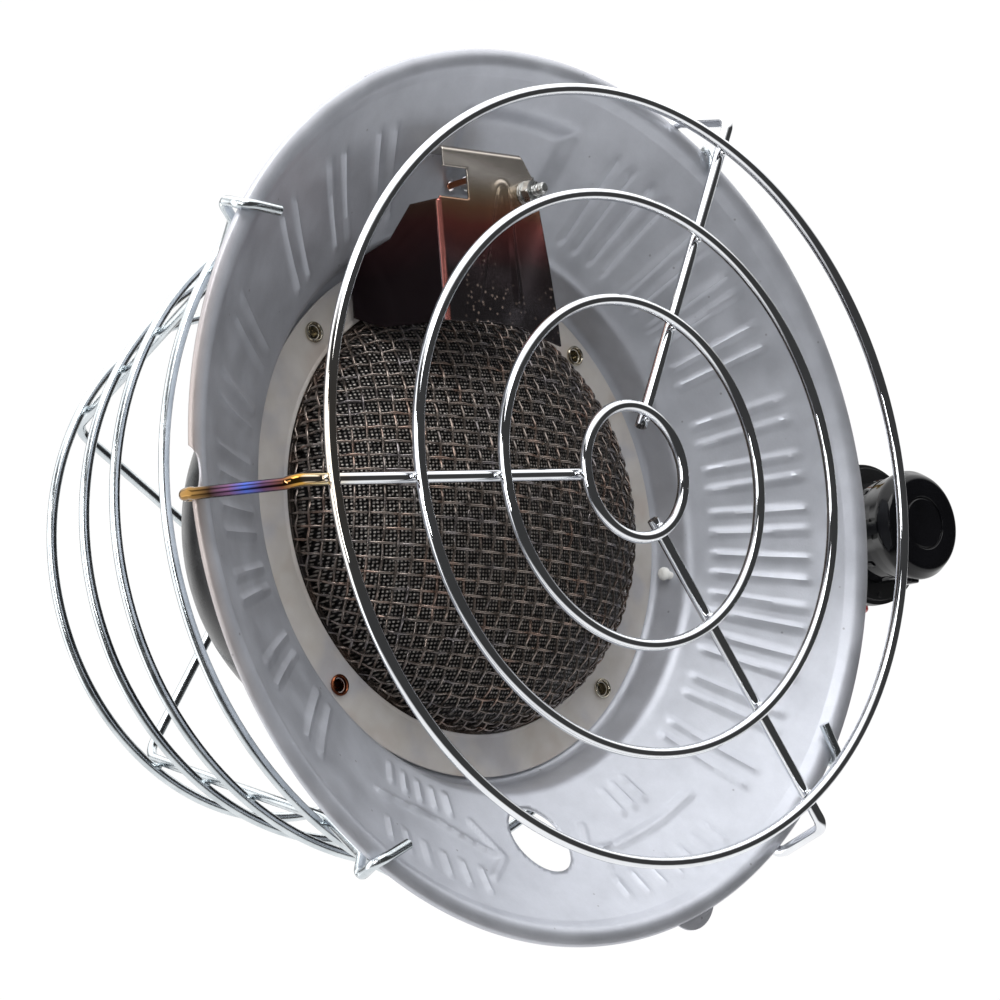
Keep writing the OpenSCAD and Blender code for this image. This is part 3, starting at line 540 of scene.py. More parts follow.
# ---- Burner pan, rear shell and gas spreader ----
# Pan and shell are deep drawn from 0.8 mm steel, rolled together at the seam and dipped in
# black enamel. The spreader is a perforated plate inside the pan.

# Black vitreous enamel, fired: a deep wet gloss with a faint ripple.
black_enamel = finish("black_vitreous_enamel", ("#0b0b0d", "#121214"), 0.0, (0.2, 0.3), 30, 6,
                      0.02, Specular_IOR_Level=0.2)
pan = spun(divided(rounded([(88.5, 49), (77.6, 49), (77.6, 77.6), (84, 77.6)], [0, 1.4, 1.4, 0]),
                   3), 180)
open_for_rivets(pan)
sheet_of(piece("pan_drawn", pan, black_enamel, "heater", "burner_pan", slot="black_enamel",
               at=HEAD), STEEL_T)
rear = [(83.6, 78.4), (79, 78.4)] + [(77.2 * cos(radians(a)), 78.4 + 70 * sin(radians(a)))
                                     for a in range(4, 91, 3)]
rear = [Vector(p) for p in rear[:-1]] + [Vector((0, 148.4))]
sheet_of(piece("shell_drawn", spun(rear, 180), black_enamel, "heater", "burner_shell",
               slot="black_enamel", at=HEAD), STEEL_T)
# the rim of the pan is rolled round the rim of the shell
seam = spun(rounded([(81, 77.1), (84.5, 77.1), (84.5, 78.9), (81, 78.9), (81, 77.1)],
                    [0, 0.85, 0.85, 0.3, 0]), 180)
piece("rolled_seam", seam, black_enamel, "heater", slot="black_enamel", at=HEAD)
drawn_steel = finish("drawn_steel_bare", ("#6a6765", "#7d7a78"), 1.0, (0.35, 0.5), 12, 0.6, 0.01)
clothe("gas_spreader", drawn_steel)

# ---- Front guard ----
# Four rings of 4 mm steel wire are resistance welded to three bent legs, and the guard is
# then chrome plated. Heat has tinted the leg at the top gold, purple and blue.

GUARD_WIRE, RING_DEPTH, LEG_DEPTH, GUARD_ROLL = 3.96, -40.2, -36.5, -3.5
ring_radii = [21.7 + (126.5 - 21.7) * i / 3 for i in range(4)]


def circle(radius, depth, steps):
    """The points of a ring about the burner's axis."""
    return [polar(360 * k / steps, radius, depth) for k in range(steps)]


def weld(bm, at, size, turn=0.0):
    """Adds the small bead of metal that is pressed out where two wires are welded."""
    new = bmesh.ops.create_uvsphere(bm, u_segments=12, v_segments=8, radius=1)["verts"]
    bmesh.ops.scale(bm, vec=size, verts=new)
    bmesh.ops.rotate(bm, cent=(0, 0, 0), matrix=Matrix.Rotation(radians(turn), 3, "Y"),
                     verts=new)
    bmesh.ops.translate(bm, vec=at, verts=new)


# Bright chrome plate: mirrors the room in thin dark and light lines along each wire.
chrome = finish("chrome_plate_on_wire", ("#d6d8dc", "#e4e6e9"), 1.0, (0.03, 0.07), 20, 6, 0.003)
tree = chrome.node_tree
spot = placed(chrome)
# the tints follow the leg, from its straight part over its bend to its end behind the rim
straight = add(tree, "MapRange", {0: (spot, 2), 1: 0.318, 2: 0.34, 3: 0.0, 4: 0.4})
sloping = add(tree, "MapRange", {0: (spot, 1), 1: -0.1705, 2: -0.137, 3: 0.0, 4: 0.6})
along_leg = add(tree, "Math", {0: (straight, 0), 1: (sloping, 0)}, operation="ADD")
heat = add(tree, "ValToRGB", {0: (along_leg, 0)}, stops=(
    (0.0, "#dcdcda"), (0.2, "#d9c391"), (0.34, "#b98d3f"), (0.45, "#6f4638"), (0.56, "#563f5e"),
    (0.66, "#4a5fae"), (0.76, "#6b4c6a"), (0.87, "#3a2a1e"), (1.0, "#8d6c3c")))
off_ring = add(tree, "MapRange", {0: (spot, 1), 1: -0.1728, 2: -0.1718})
high_up = add(tree, "MapRange", {0: (spot, 2), 1: 0.312, 2: 0.32})
tinted = add(tree, "Math", {0: (off_ring, 0), 1: (high_up, 0)}, operation="MULTIPLY")
stain(chrome, (heat, 0), (tinted, 0))
# a faint straw colour on the outer ring beside the leg
aside = add(tree, "Math", {0: (spot, 0)}, operation="ABSOLUTE")
near_leg = add(tree, "MapRange", {0: (aside, 0), 1: 0.05, 2: 0.015, 4: 0.4})
straw = add(tree, "Math", {0: (near_leg, 0), 1: (high_up, 0)}, operation="MULTIPLY")
on_ring = add(tree, "MapRange", {0: (spot, 1), 1: -0.1718, 2: -0.1728})
straw = add(tree, "Math", {0: (straw, 0), 1: (on_ring, 0)}, operation="MULTIPLY")
stain(chrome, "#b99a66", (straw, 0))
leg_path = rounded([(17.7, LEG_DEPTH), (138.5, LEG_DEPTH), (151.9, -3), (151.9, 1.9),
                    (145, 1.9)], [0, 5, 6, 2.4, 0], 8)
guard = wired(bmesh.new(), [circle(r, RING_DEPTH, 180) for r in ring_radii], GUARD_WIRE, 14,
              closed=True)
for k, (askew, sway) in enumerate(((0.7, 1.1), (2.2, 0), (-4, 0))):
    # the upper leg waves a little, and the two lower legs are bent towards each other
    line = []
    for p in leg_path:
        share = min(max((p.y - LEG_DEPTH) / 34, 0), 1)
        line.append(polar(GUARD_ROLL + 120 * k + askew * eased(share) - sway * sin(pi * share), *p))
    wired(guard, [line], GUARD_WIRE, 14)
for k in range(3):
    for radius in ring_radii:
        for side in (-1, 1):
            weld(guard, polar(GUARD_ROLL + 120 * k, radius + side * 1.4, -38.4),
                 (1.2, 1.1, 1.0), GUARD_ROLL + 120 * k)
piece("guard_wires", guard, chrome, "heater", "front_guard", slot="chrome_wire", at=HEAD,
      crease=70)

# ---- Rear cage ----
# Four rings of 3.6 mm steel wire and two long bent wires, which cross at the back and hook
# over the rim of the dish. All are welded and plated with zinc.

CAGE_WIRE, CAGE_ROLL, HOOK_DEPTH = 3.56, -9.5, -5.5


def cage_at(depth):
    """The radius of the cage at a depth."""
    return 91.4 + (156 - depth) * 0.33


cage_depths = [156, 120, 88, 39]
cage_leg = rounded([(0, 169.9), (cage_at(170) - 3.3, 169.9), (cage_at(39) - 3.3, 39),
                    (144.5, 10.5), (151.95, 7.6), (151.95, HOOK_DEPTH), (139, HOOK_DEPTH + 1)],
                   [0, 9, 20, 4, 3.6, 4.5, 0], 10)


def cage_line(k, side):
    """One half of a bent wire, from the middle of the back to its hook, which leans over."""
    angle = CAGE_ROLL + 45 + 90 * k + (0 if side > 0 else 180)
    lean = 1 if sin(radians(angle)) > 0 else -1
    return [polar(angle + lean * (eased((6 - p.y) / 12) * -1.6 + (152 - p.x) * 0.25
                                  if p.y < 7 else 0), p.x,
                  p.y - (k * 3.3 * eased((cage_at(170) + 4 - p.x) / 8) if p.y > 150 else 0))
            for p in cage_leg[1:]]


# Zinc plate, bright with a pale passivation: a soft gloss, slightly cloudy.
zinc_wire = finish("pale_zinc_plate_on_wire", ("#b9c0c4", "#d3d9dc"), 1.0, (0.16, 0.28), 9, 2.5,
                   0.012)
cage = wired(bmesh.new(), [circle(cage_at(d), d, 160) for d in cage_depths], CAGE_WIRE, 12,
             closed=True)
for k in (0, 1):
    wired(cage, [cage_line(k, 1)[::-1] + cage_line(k, -1)], CAGE_WIRE, 12)
    for side in (0, 180):
        for depth in cage_depths:
            weld(cage, polar(CAGE_ROLL + 45 + 90 * k + side, cage_at(depth) - 1.65, depth),
                 (1.6, 1.3, 1.2), CAGE_ROLL + 45 + 90 * k + side)
piece("cage_wires", cage, zinc_wire, "heater", "rear_cage", slot="zinc_wire", at=HEAD, crease=70)

# ---- Heat shield ----
# A guard plate over the thermocouple, cut from bright 0.8 mm sheet and folded twice: a cheek
# bends back beside the burner, and the top bends back to the dish.

FOLD_R, CHEEK_X, CHEEK_Z, TOP_X, SHIELD_DEPTH = 1.6, 98, 34, 116, 6.4
shield_outline = [(51.5, -15.5), (60, -15), (80, -13), (98, -10.5), (107, -9.5), (116, -4),
                  (125.3, -4), (125.3, 31), (116, 31), (109.5, 31), (109, 33.5), (99, 33.5),
                  (98, 34), (98, 45), (88, 54), (84, 66), (81, 71), (64, 71), (59, 60), (57.5, 44),
                  (57, 30), (57.6, 14), (56.6, 2), (53.6, -8)]
shield = bmesh.new()
shield.faces.new([shield.verts.new((x, 0, z)) for x, z in shield_outline])
for k in range(93):
    bmesh.ops.bisect_plane(shield, geom=shield.faces[:] + shield.edges[:] + shield.verts[:],
                           dist=0.001, plane_co=(51.7 + 0.8 * k, 0, 0), plane_no=(1, 0, 0))
for k in range(108):
    bmesh.ops.bisect_plane(shield, geom=shield.faces[:] + shield.edges[:] + shield.verts[:],
                           dist=0.001, plane_co=(0, 0, -15.2 + 0.8 * k), plane_no=(0, 0, 1))
# the window beside the fold is open to the edge
window = [f for f in shield.faces if 99 < f.calc_center_median().x < 109.2
          and 20.4 < f.calc_center_median().z]
bmesh.ops.delete(shield, geom=window, context="FACES")
pierce(shield, (103, -4.5), (103, -4.5), 2.05)


def folded(over, lean):
    """The place of a point past a fold: how far it goes on, and how far back."""
    bend = FOLD_R * (pi / 2 - lean)
    if over <= -bend / 2:
        return over, 0
    if over < bend / 2:
        turn = (over + bend / 2) / FOLD_R
        return -bend / 2 + FOLD_R * sin(turn), FOLD_R * (1 - cos(turn))
    turn, rest = bend / FOLD_R, over - bend / 2
    return (-bend / 2 + FOLD_R * sin(turn) + rest * cos(turn),
            FOLD_R * (1 - cos(turn)) + rest * sin(turn))


for vert in shield.verts:
    x, z = vert.co.x, vert.co.z
    top, top_back = folded(x - TOP_X, 0)
    side, side_back = folded(z - CHEEK_Z, radians(15)) if x < CHEEK_X + 0.1 else (z - CHEEK_Z, 0)
    # a narrow rib, shaped like a long drop, is pressed forward in the face to stiffen it
    middle = 6 + (105 - x) * 0.13
    wide = 2.4 + max(105 - x, 0) * 0.16
    arch = (abs(hypot(x - 103, z - middle) - wide) if x > 103
            else abs(abs(z - middle) - wide))
    pressed = 0.7 * eased((1.5 - arch) / 1.3) * eased((x - 62) / 8) if x < 110 else 0
    vert.co = Vector((TOP_X + top, SHIELD_DEPTH + top_back + side_back - pressed,
                      CHEEK_Z + side))
# Bright nickel-plated sheet, tinted by heat: silver at the top, straw and red-brown below
# the window, and a dark purple next to the burner, where pale specks of scale lie on it.
tinted_steel = finish("nickel_sheet_heat_tinted", ("#8a8580", "#a8a39d"), 0.8, (0.12, 0.22), 8,
                      0.8, 0.006)
tree = tinted_steel.node_tree
spot = placed(tinted_steel)
where = own_place(tinted_steel)
cloud = add(tree, "TexNoise", {"Vector": where, "Scale": 1 / (20 * MM), "Detail": 3.0})
level = add(tree, "MapRange", {0: (spot, 0), 1: 0.057, 2: 0.116, 3: -0.06, 4: 0.94})
wavy = add(tree, "Math", {0: (cloud, 0), 1: 0.12, 2: (level, 0)}, operation="MULTIPLY_ADD")
tints = add(tree, "ValToRGB", {0: (wavy, 0)}, stops=(
    (0.1, "#2b262b"), (0.32, "#2f2226"), (0.45, "#57282a"), (0.58, "#783730"), (0.68, "#865c42"),
    (0.76, "#978671"), (0.86, "#b0a9a1")))
stain(tinted_steel, (tints, 0), 0.93)
# painted shade: the cheek, which bends back beside the burner, is darkened almost to black
cheek = add(tree, "MapRange", {0: (spot, 2), 1: 0.2325, 2: 0.2345, 4: 0.8})
below = add(tree, "MapRange", {0: (spot, 0), 1: 0.0995, 2: 0.0975})
cheek_painted_shade = add(tree, "Math", {0: (cheek, 0), 1: (below, 0)}, operation="MULTIPLY")
stain(tinted_steel, "#1c0f12", (cheek_painted_shade, 0))
specks = add(tree, "TexVoronoi", {"Vector": where, "Scale": 1 / (2.2 * MM)})
speck = add(tree, "MapRange", {0: (specks, "Distance"), 1: 0.28, 2: 0.14})
band = add(tree, "MapRange", {0: (spot, 0), 1: 0.085, 2: 0.076})
on_face = add(tree, "MapRange", {0: (spot, 2), 1: 0.228, 2: 0.222})
patchy = add(tree, "MapRange", {0: (cloud, 0), 1: 0.46, 2: 0.6})
for part in (band, on_face, patchy):
    speck = add(tree, "Math", {0: (speck, 0), 1: (part, 0)}, operation="MULTIPLY")
stain(tinted_steel, "#b8a59a", (speck, 0))
# a painted highlight runs along the fold to the cheek, where the sharp bend catches the light
off_fold = add(tree, "Math", {0: (spot, 2), 1: -0.2338}, operation="ADD")
off_fold = add(tree, "Math", {0: (off_fold, 0)}, operation="ABSOLUTE")
fold_painted_highlight = add(tree, "MapRange", {0: (off_fold, 0), 1: 0.0009, 2: 0.0003, 4: 0.8})
fold_painted_highlight = add(tree, "Math", {0: (fold_painted_highlight, 0), 1: (below, 0)}, operation="MULTIPLY")
stain(tinted_steel, "#d8867c", (fold_painted_highlight, 0))
sheet_of(piece("shield_plate", shield, tinted_steel, "heater", "heat_shield",
               slot="tinted_steel", at=HEAD, crease=60), STEEL_T)

# ---- Shield strap, screw, washers and nut ----
# A zinc-plated strap passes through the slot in the dish and carries the shield and the
# thermocouple. An M4 screw from behind, two washers and a nut hold the shield.


def dressed(name, node, made, body, slot, edge=0.3):
    """Draws a machined, stamped or moulded part from its solid, with its sharp edges broken."""
    bm = bmesh.new()
    bm.from_mesh(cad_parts[node].data)
    bmesh.ops.scale(bm, vec=(1 / MM, 1 / MM, 1 / MM), verts=bm.verts)
    bmesh.ops.remove_doubles(bm, verts=bm.verts, dist=0.002)
    bmesh.ops.dissolve_limit(bm, angle_limit=radians(1), verts=bm.verts, edges=bm.edges)
    shape = piece(name, bm, made, body, node, slot=slot)
    broken = shape.modifiers.new("edges", "BEVEL")
    broken.width, broken.segments = edge * MM, 2
    broken.limit_method, broken.angle_limit = "ANGLE", radians(38)
    broken.harden_normals = True
    return shape


def six_sided(bm, flats):
    """Planes a turned shape about Y to the six flats of a nut."""
    for vert in bm.verts:
        angle = degrees(atan2(vert.co.x, vert.co.z)) % 60 - 30
        limit = flats / 2 / cos(radians(angle))
        radius = hypot(vert.co.x, vert.co.z)
        if radius > limit:
            vert.co.x *= limit / radius
            vert.co.z *= limit / radius


def threaded(radius, pitch, start, end, steps=32):
    """The path of a thread: a helix that a cutter leaves proud of the screw."""
    turns = (end - start) / pitch
    return [Vector((radius * sin(2 * pi * k / steps), start + pitch * k / steps,
                    radius * cos(2 * pi * k / steps))) for k in range(int(turns * steps) + 1)]


zinc_plate = finish("clear_zinc_plate", ("#b3b4b3", "#c7c8c6"), 1.0, (0.24, 0.36), 4, 0.6, 0.01)
dressed("strap_stamped", "shield_strap", zinc_plate, "heater", "zinc_plate", 0.25)
SCREW_AT = HEAD + Vector((103, 0, -4.5))
screw = spun(rounded([(0, -4), (1.3, -4), (1.7, -3.5), (1.7, 8), (3.6, 8), (3.6, 9.2), (2.4, 10.4),
                      (0, 10.4)], [0, 0, 0, 0, 0.3, 1.2, 0.6, 0]), 32)
wired(screw, [threaded(1.72, 0.7, -3.6, 7.6)], 0.55, 6)
piece("shield_bolt", screw, zinc_plate, "heater", "shield_screw", slot="zinc_plate", at=SCREW_AT)
washers = bmesh.new()
for depth in (5.1, 4.2):
    spun(rounded([(2.1, depth), (4.2, depth), (4.2, depth + 0.86), (2.1, depth + 0.86),
                  (2.1, depth + 0.4)], [0, 0.25, 0.25, 0, 0]), 40, closed=True, bm=washers)
piece("washer_pair", washers, zinc_plate, "heater", "shield_washers", slot="zinc_plate",
      at=SCREW_AT)
nut = spun(rounded([(2.1, 1.3), (2.5, 1.0), (3.6, 1.0), (4.05, 1.5), (4.05, 3.9), (3.6, 4.2),
                    (2.1, 4.2), (2.1, 2.5)], [0, 0, 0, 0, 0, 0, 0, 0]), 96, closed=True)
six_sided(nut, 7)
piece("hex_nut", nut, zinc_plate, "heater", "shield_nut", slot="zinc_plate", at=SCREW_AT,
      crease=20)

# ---- Thermocouple and its lead ----
# A drawn steel tube with a round end, brazed to a collar, and a copper capillary that runs
# through the dish and down behind it to the safety valve.

ALONG_X = Matrix.Rotation(radians(-90), 4, "Z")
UP = Matrix.Rotation(radians(90), 4, "X")
probe_steel = finish("drawn_steel_probe", ("#80766c", "#a0968a"), 1.0, (0.26, 0.4), 4, 0.5, 0.01)
tree = probe_steel.node_tree
spot = placed(probe_steel)
tints = add(tree, "ValToRGB", {0: (add(tree, "MapRange", {0: (spot, 0), 1: 0.06, 2: 0.1}), 0)},
            stops=((0.05, "#4a4448"), (0.3, "#5f6a8a"), (0.5, "#8a5f46"), (0.8, "#a0968a")))
stain(probe_steel, (tints, 0), 0.7)
PROBE_AT = HEAD + Vector((64, 10.7, 10))
probe = spun(rounded([(0, -2.4), (2.4, -2.4), (2.4, 24), (3.4, 24), (3.4, 30), (2.4, 30),
                      (2.4, 38), (0, 38)], [0, 2.2, 0, 0.5, 0.5, 0, 0.6, 0], 6), 36, turn=ALONG_X)
piece("probe_rod", probe, probe_steel, "heater", "thermocouple", slot="probe_steel", at=PROBE_AT)
lead_points = [(102, 10.7, 10), (103, 10.7, 10), (109, 15, 10.5), (109, 24, 11), (109, 44, 8.5),
               (108, 56, -8), (100, 61, -40), (84, 62, -64), (64, 62, -86), (54, 62, -108),
               (52, 62, -130), (52, 62, -206), (37, 62, -206)]
copper = finish("drawn_copper_tube", ("#b56f4c", "#c98562"), 1.0, (0.26, 0.4), 7, 0.6, 0.01)
lead = wired(bmesh.new(), [rounded(lead_points, [0, 0] + [6] * 10 + [0], 6)], 2.2, 12)
piece("capillary", lead, copper, "heater", "thermocouple_lead", slot="copper", at=HEAD,
      crease=60)

# ---- Mixer tube, air collar and jet ----
# The gas jet blows up through a stamped collar, whose windows let in air, and a steel tube
# in black enamel that enters the burner pan from below.

OUTLET_Y = -72
tube = spun(rounded([(10.9, 38), (11, 38.2), (11, 132), (10, 132), (10, 38)],
                    [0, 0, 0.3, 0.3, 0]), 64, closed=True, turn=UP, at=(0, OUTLET_Y, 0))
piece("venturi_tube", tube, black_enamel, "heater", "mixer_tube", slot="black_enamel")
dressed("collar_stamped", "air_collar", zinc_plate, "heater", "bare_steel", 0.25)
brass = finish("machined_brass", ("#b8964a", "#c9a95c"), 1.0, (0.2, 0.32), 6, 0.5, 0.01)
dressed("jet_turned", "orifice_jet", brass, "heater", "brass", 0.25)

# ---- Valve body, spindle and seal ----
# The body is a die casting that has been tumbled and machined. The brass spindle turns in it
# against a moulded rubber ring.

# Die-cast zinc, tumbled: a dull even grey with a fine pebbled skin.
die_cast = finish("die_cast_zinc_tumbled", ("#8f9294", "#a0a3a5"), 0.9, (0.4, 0.54), 8, 1.2,
                  0.04)
dressed("valve_casting", "valve_body", die_cast, "heater", "die_cast", 0.8)
clothe("valve_spindle", brass)
rubber = finish("moulded_nitrile_rubber", ("#191919", "#222222"), 0.0, (0.5, 0.65), 4, 0.6, 0.01)
clothe("spindle_seal", rubber)

# ---- Dial plate and its screws ----
# A round plate moulded in black plastic lies behind the knob, with a raised mark where the
# knob is off and one where it is high. Two countersunk screws hold it.

# Moulded plastic, satin: black, with a fine spark-eroded grain (0.2 mm, drawn at 0.6 mm).
black_plastic = finish("black_plastic_moulded", ("#131314", "#1a1a1c"), 0.0, (0.3, 0.42), 14,
                       0.6, 0.015)
dressed("dial_moulding", "dial_plate", black_plastic, "heater", "black_plastic", 0.4)
clothe("dial_screws", zinc_plate)

# ---- Knob ----
# A thick round knob moulded in black phenolic, polished, with flutes for the fingers, a
# pointer lug under its rounded head and an inset cap over its screw.

phenolic = finish("black_phenolic_polished", ("#08080a", "#0d0d10"), 0.0, (0.04, 0.09), 20, 1.0,
                  0.002, Specular_IOR_Level=0.25)
KNOB_FACE, NECK_R = -119, 19
knob_outline = rounded([
    (4.2, -116), (4.2, -118.2), (9.8, -118.2), (9.8, KNOB_FACE), (17.5, KNOB_FACE), (20.5, -114),
    (19.5, -109), (NECK_R, -105), (NECK_R, -94), (9.7, -94), (9.7, -102.3), (4.2, -102.3),
    (4.2, -110)], [0, 0, 0.2, 0.35, 3.4, 3.4, 3, 2, 0.5, 0, 0, 0, 0], 8)
knob = spun(divided(knob_outline, 1.0), 288, closed=True)
for vert in knob.verts:
    radius = hypot(vert.co.x, vert.co.z)
    if radius > 15 and vert.co.y > -104.5:
        angle = (degrees(atan2(vert.co.x, vert.co.z)) % 30) - 15
        aside = (NECK_R + 1.5) * sin(radians(angle))
        if abs(aside) < 2.2:
            cut = radius - ((NECK_R + 1.5) * cos(radians(angle))
                            - (2.2 ** 2 - aside ** 2) ** 0.5)
            cut = max(cut, 0) * eased((vert.co.y + 104.5) / 2)
            vert.co.x *= (radius - cut) / radius
            vert.co.z *= (radius - cut) / radius
lug = bmesh.ops.create_cube(knob, size=1)["verts"]
bmesh.ops.scale(knob, vec=(6, 8, 4), verts=lug)
bmesh.ops.translate(knob, vec=(-18.3, -108, 0), verts=lug)
bmesh.ops.bevel(knob, geom=list({e for v in lug for e in v.link_edges}), offset=0.8, segments=3,
                affect="EDGES", profile=0.5, material=-1)
piece("knob_moulding", knob, phenolic, "knob", "knob", slot="gloss_black")
cap = spun(rounded([(0, -118.75), (8.9, -118.72), (9.5, -118.3), (9.5, -118.2), (0, -118.2)],
                   [0, 0.5, 0.1, 0, 0]), 120)
piece("cap_disc", cap, phenolic, "knob", "knob_cap", slot="gloss_black")
clothe("knob_screw", zinc_plate)

# ---- Safety valve ----
# The magnet unit and the nut of the lead are turned from brass. At the other side of the
# body a red button on a steel plunger is pushed back by a coil spring, which is flattened
# to less than its own wires at the end of the travel.

dressed("magnet_housing", "magnet_unit", brass, "heater", "brass", 0.3)
dressed("lead_nut", "thermocouple_nut", brass, "heater", "brass", 0.3)
drawn_rod = finish("drawn_steel_rod", ("#9a9b9c", "#adaeaf"), 1.0, (0.2, 0.3), 5, 0.4, 0.005)
clothe("button_plunger", drawn_rod)
BUTTON_AT = Vector((-27, -72, -6))
red_plastic = finish("red_plastic_moulded", ("#a81a14", "#b3211a"), 0.0, (0.26, 0.36), 6, 0.5,
                     0.008)
button = spun(rounded([(0, 0.25), (5.2, 0), (7, 0.2), (7, 7), (2.5, 7), (2.5, 3), (0, 3)],
                      [0, 3, 1.2, 0.5, 0.3, 0, 0], 6), 96, turn=ALONG_X)
piece("push_button", button, red_plastic, "button", "safety_button", slot="red_plastic",
      at=BUTTON_AT)


def coil(radius, length, turns, wire, closed_ends=0.75, steps=28):
    """The path of a coil spring along Y, whose end turns lie flat against each other."""
    total = int(turns * steps)
    rise, place, path = [], 0, []
    for k in range(total + 1):
        turn = min(k, total - k) / steps
        rise.append(wire / steps if turn < closed_ends else None)
    free = (length - wire - sum(r for r in rise[1:] if r)) / rise[1:].count(None)
    for k in range(total + 1):
        if k:
            place += rise[k] if rise[k] else free
        path.append(Vector((radius * sin(2 * pi * k / steps), wire / 2 + place,
                            radius * cos(2 * pi * k / steps))))
    return path


spring_wire = finish("drawn_spring_wire", ("#8c8d90", "#a2a3a6"), 1.0, (0.2, 0.32), 4, 0.5,
                     0.006)
spring = wired(bmesh.new(), [coil(3.7, 6, 5, 0.9)], 0.9, 8)
bmesh.ops.transform(spring, matrix=Matrix.Rotation(radians(90), 4, "Z"), verts=spring.verts)
spring = piece("return_spring", spring, spring_wire, "heater", "button_spring",
               slot="spring_steel", at=(-14, -72, -6), crease=60)
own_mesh(spring)

# ---- Regulator ----
# Body and cover are die castings, clamped on a rubber diaphragm by four screws. Under the
# diaphragm a set spring presses on a steel plate.

dressed("regulator_casting", "regulator_body", die_cast, "heater", "die_cast", 0.8)
dressed("cover_casting", "regulator_cover", die_cast, "heater", "die_cast", 0.8)
clothe("diaphragm", rubber)
clothe("diaphragm_plate", zinc_plate)
clothe("cover_screws", zinc_plate)
set_spring = wired(bmesh.new(), [coil(7, 11, 6, 1.3)], 1.3, 8)
bmesh.ops.transform(set_spring, matrix=UP, verts=set_spring.verts)
piece("set_spring", set_spring, spring_wire, "heater", "regulator_spring", slot="spring_steel",
      at=(0, -41, -23), crease=60)

# ---- Tank inlet ----
# A turned brass nipple with a rubber ring in its nose seats in the tank valve, and a black
# moulded hand wheel drives the brass nut that pulls it in.

clothe("inlet_nipple", brass)
clothe("nipple_seal", rubber)
nut_outline = rounded([(5.1, -16), (13, -16), (13, 0), (11.2, 0), (11.2, 18), (5.1, 18),
                       (5.1, 2)], [0, 0.4, 0.4, 0, 1.2, 0.5, 0])
piece("nut_turned", spun(nut_outline, 72, closed=True), brass, "wheel", "tank_nut", slot="brass")
dressed("wheel_moulding", "hand_wheel", black_plastic, "wheel", "black_plastic", 0.7)

# ---- Studio ----
# The heater is seen lying on its side, so the soft light above it is on its +X side and the
# white table on its -X side. Behind it is a white backdrop, and the room is dim.

studio = bpy.data.worlds.new("studio")
bpy.context.scene.world = studio
studio.use_nodes = True
tree = studio.node_tree
for node in list(tree.nodes):
    tree.nodes.remove(node)
facing = (add(tree, "TexCoord"), "Generated")
UPWARD, LEFTWARD = (0.9854, -0.1649, 0.0424), (0.0785, 0.6608, 0.7465)
lift, ahead, aside = [add(tree, "VectorMath", {0: facing, 1: way}, operation="DOT_PRODUCT")
                      for way in (UPWARD, tuple(looking), LEFTWARD)]
# soft light and table both reach round behind the heater, and leave the camera's side dark
back = add(tree, "Math", {0: (ahead, 1), 1: 0.35}, operation="MULTIPLY")
high = add(tree, "Math", {0: (back, 0), 1: (lift, 1)}, operation="ADD")
low = add(tree, "Math", {0: (back, 0), 1: (lift, 1)}, operation="SUBTRACT")
soft_light = add(tree, "MapRange", {0: (high, 0), 1: 0.5, 2: 0.75, 3: 0.0, 4: 2.0})
table = add(tree, "MapRange", {0: (low, 0), 1: 0.4, 2: 0.62, 3: 0.0, 4: 1.1})
panel = add(tree, "MapRange", {0: (aside, 1), 1: 0.75, 2: 0.85, 3: 0.0, 4: 2.0})
behind = add(tree, "MapRange", {0: (ahead, 1), 1: 0.75, 2: 0.92}, interpolation_type="SMOOTHSTEP")
sides = add(tree, "Math", {0: (soft_light, 0), 1: (table, 0)}, operation="ADD")
sides = add(tree, "Math", {0: (sides, 0), 1: (panel, 0)}, operation="ADD")
lit = add(tree, "Math", {0: (sides, 0), 1: (behind, 0)}, operation="MAXIMUM")
level = add(tree, "Math", {0: (lit, 0), 1: 0.05}, operation="ADD")
room = add(tree, "Background", {"Color": "#ffffff", "Strength": (level, 0)})
backdrop = add(tree, "Background", {"Color": "#ffffff", "Strength": 1.0})
path = add(tree, "LightPath")
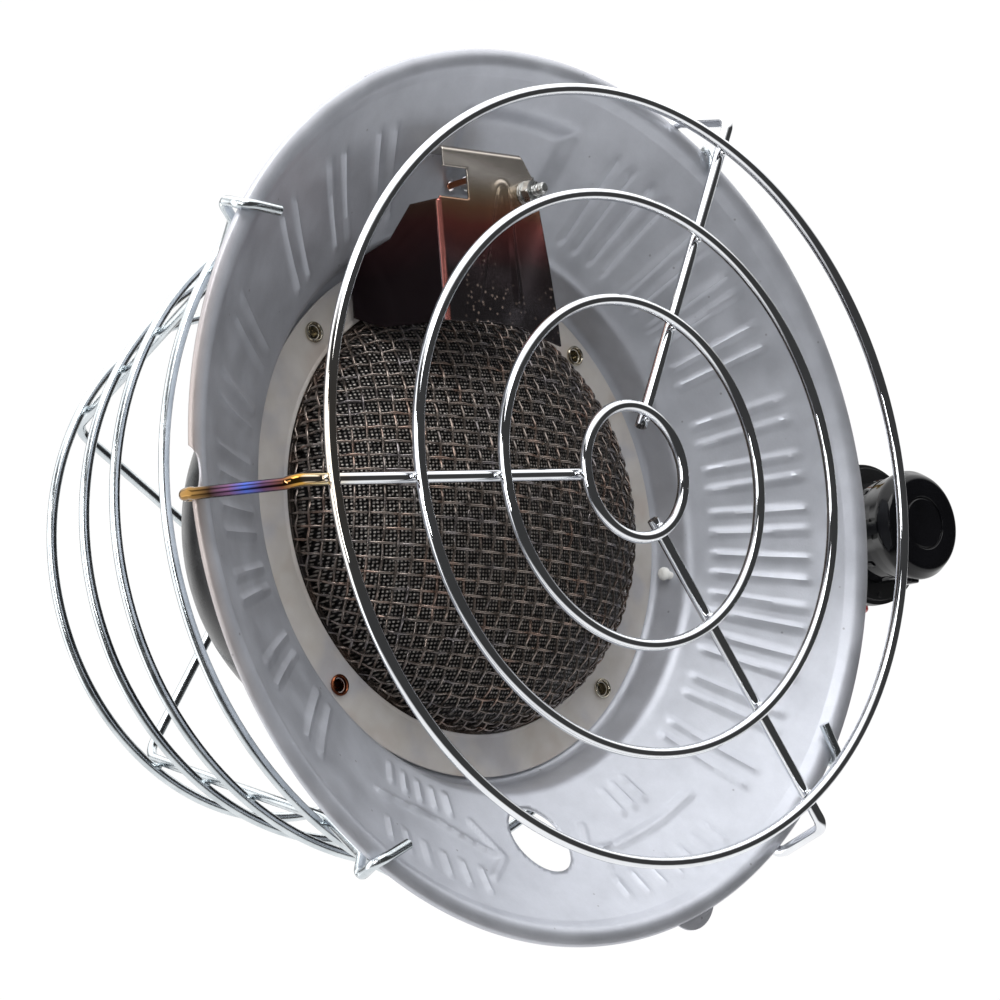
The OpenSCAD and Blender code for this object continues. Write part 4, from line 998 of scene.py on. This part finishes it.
# metal mirrors the white backdrop where it is behind the heater
mirrored = add(tree, "Math", {0: (path, "Is Glossy Ray"), 1: (path, "Is Transmission Ray")},
               operation="MAXIMUM")
mirrored = add(tree, "Math", {0: (mirrored, 0), 1: (behind, 0)}, operation="MULTIPLY")
shown = add(tree, "Math", {0: (path, "Is Camera Ray"), 1: (mirrored, 0)}, operation="MAXIMUM")
whole = add(tree, "MixShader", {0: (shown, 0), 1: (room, 0), 2: (backdrop, 0)})
tree.links.new(whole.outputs[0], add(tree, "OutputWorld").inputs[0])

# The floor is matt board. The camera sees it at full white, a tenth of which is the light that
# falls on it, so that the shadow is still there. Metal mirrors the room in its place.
floor_bm = bmesh.new()
bmesh.ops.create_grid(floor_bm, x_segments=4, y_segments=4, size=8)
bmesh.ops.translate(floor_bm, vec=(0, 0, -0.33), verts=floor_bm.verts)
floor = bpy.data.objects.new("floor", bpy.data.meshes.new("floor"))
floor_bm.to_mesh(floor.data)
floor_bm.free()
bpy.context.scene.collection.objects.link(floor)
board = bpy.data.materials.new("matt_board")
board.use_nodes = True
tree = board.node_tree
matt = add(tree, "BsdfDiffuse", {"Color": "#b4b4b4"})
glow = add(tree, "Emission", {"Color": "#ffffff", "Strength": 1.07})
path = add(tree, "LightPath")
share = add(tree, "Math", {0: (path, "Is Camera Ray"), 1: 0.9}, operation="MULTIPLY")
mixed = add(tree, "MixShader", {0: (share, 0), 1: (matt, 0), 2: (glow, 0)})
tree.links.new(mixed.outputs[0], tree.nodes["Material Output"].inputs[0])
floor.data.materials.append(board)
floor.visible_glossy = False

# A narrow strip light draws a thin line along the wires, a soft lamp gives the shadows, and
# one at the side lights the lip at the top. The wide fill light is hidden from mirrors, so the
# bright wires keep their dark cores.
for name, at, size, power in (("strip", (0.16, -0.45, 1.75), (1.4, 0.1), 10),
                              ("soft", (1.3, -1.1, 1.0), (0.9, 0.9), 12),
                              ("side", (0.25, -1.0, 2.1), (0.8, 0.8), 6),
                              ("fill", (0.1, -1.9, 1.0), (1.2, 1.2), 15)):
    lamp = bpy.data.objects.new(name, bpy.data.lights.new(name, "AREA"))
    lamp.data.shape, lamp.data.energy = "RECTANGLE", power
    lamp.data.size, lamp.data.size_y = size
    lamp.location = at
    aim = Vector((0, -0.13, 0.2)) - Vector(at)
    lamp.rotation_euler = aim.to_track_quat("-Z", "Y").to_euler()
    lamp.visible_glossy = name != "fill"
    bpy.context.scene.collection.objects.link(lamp)
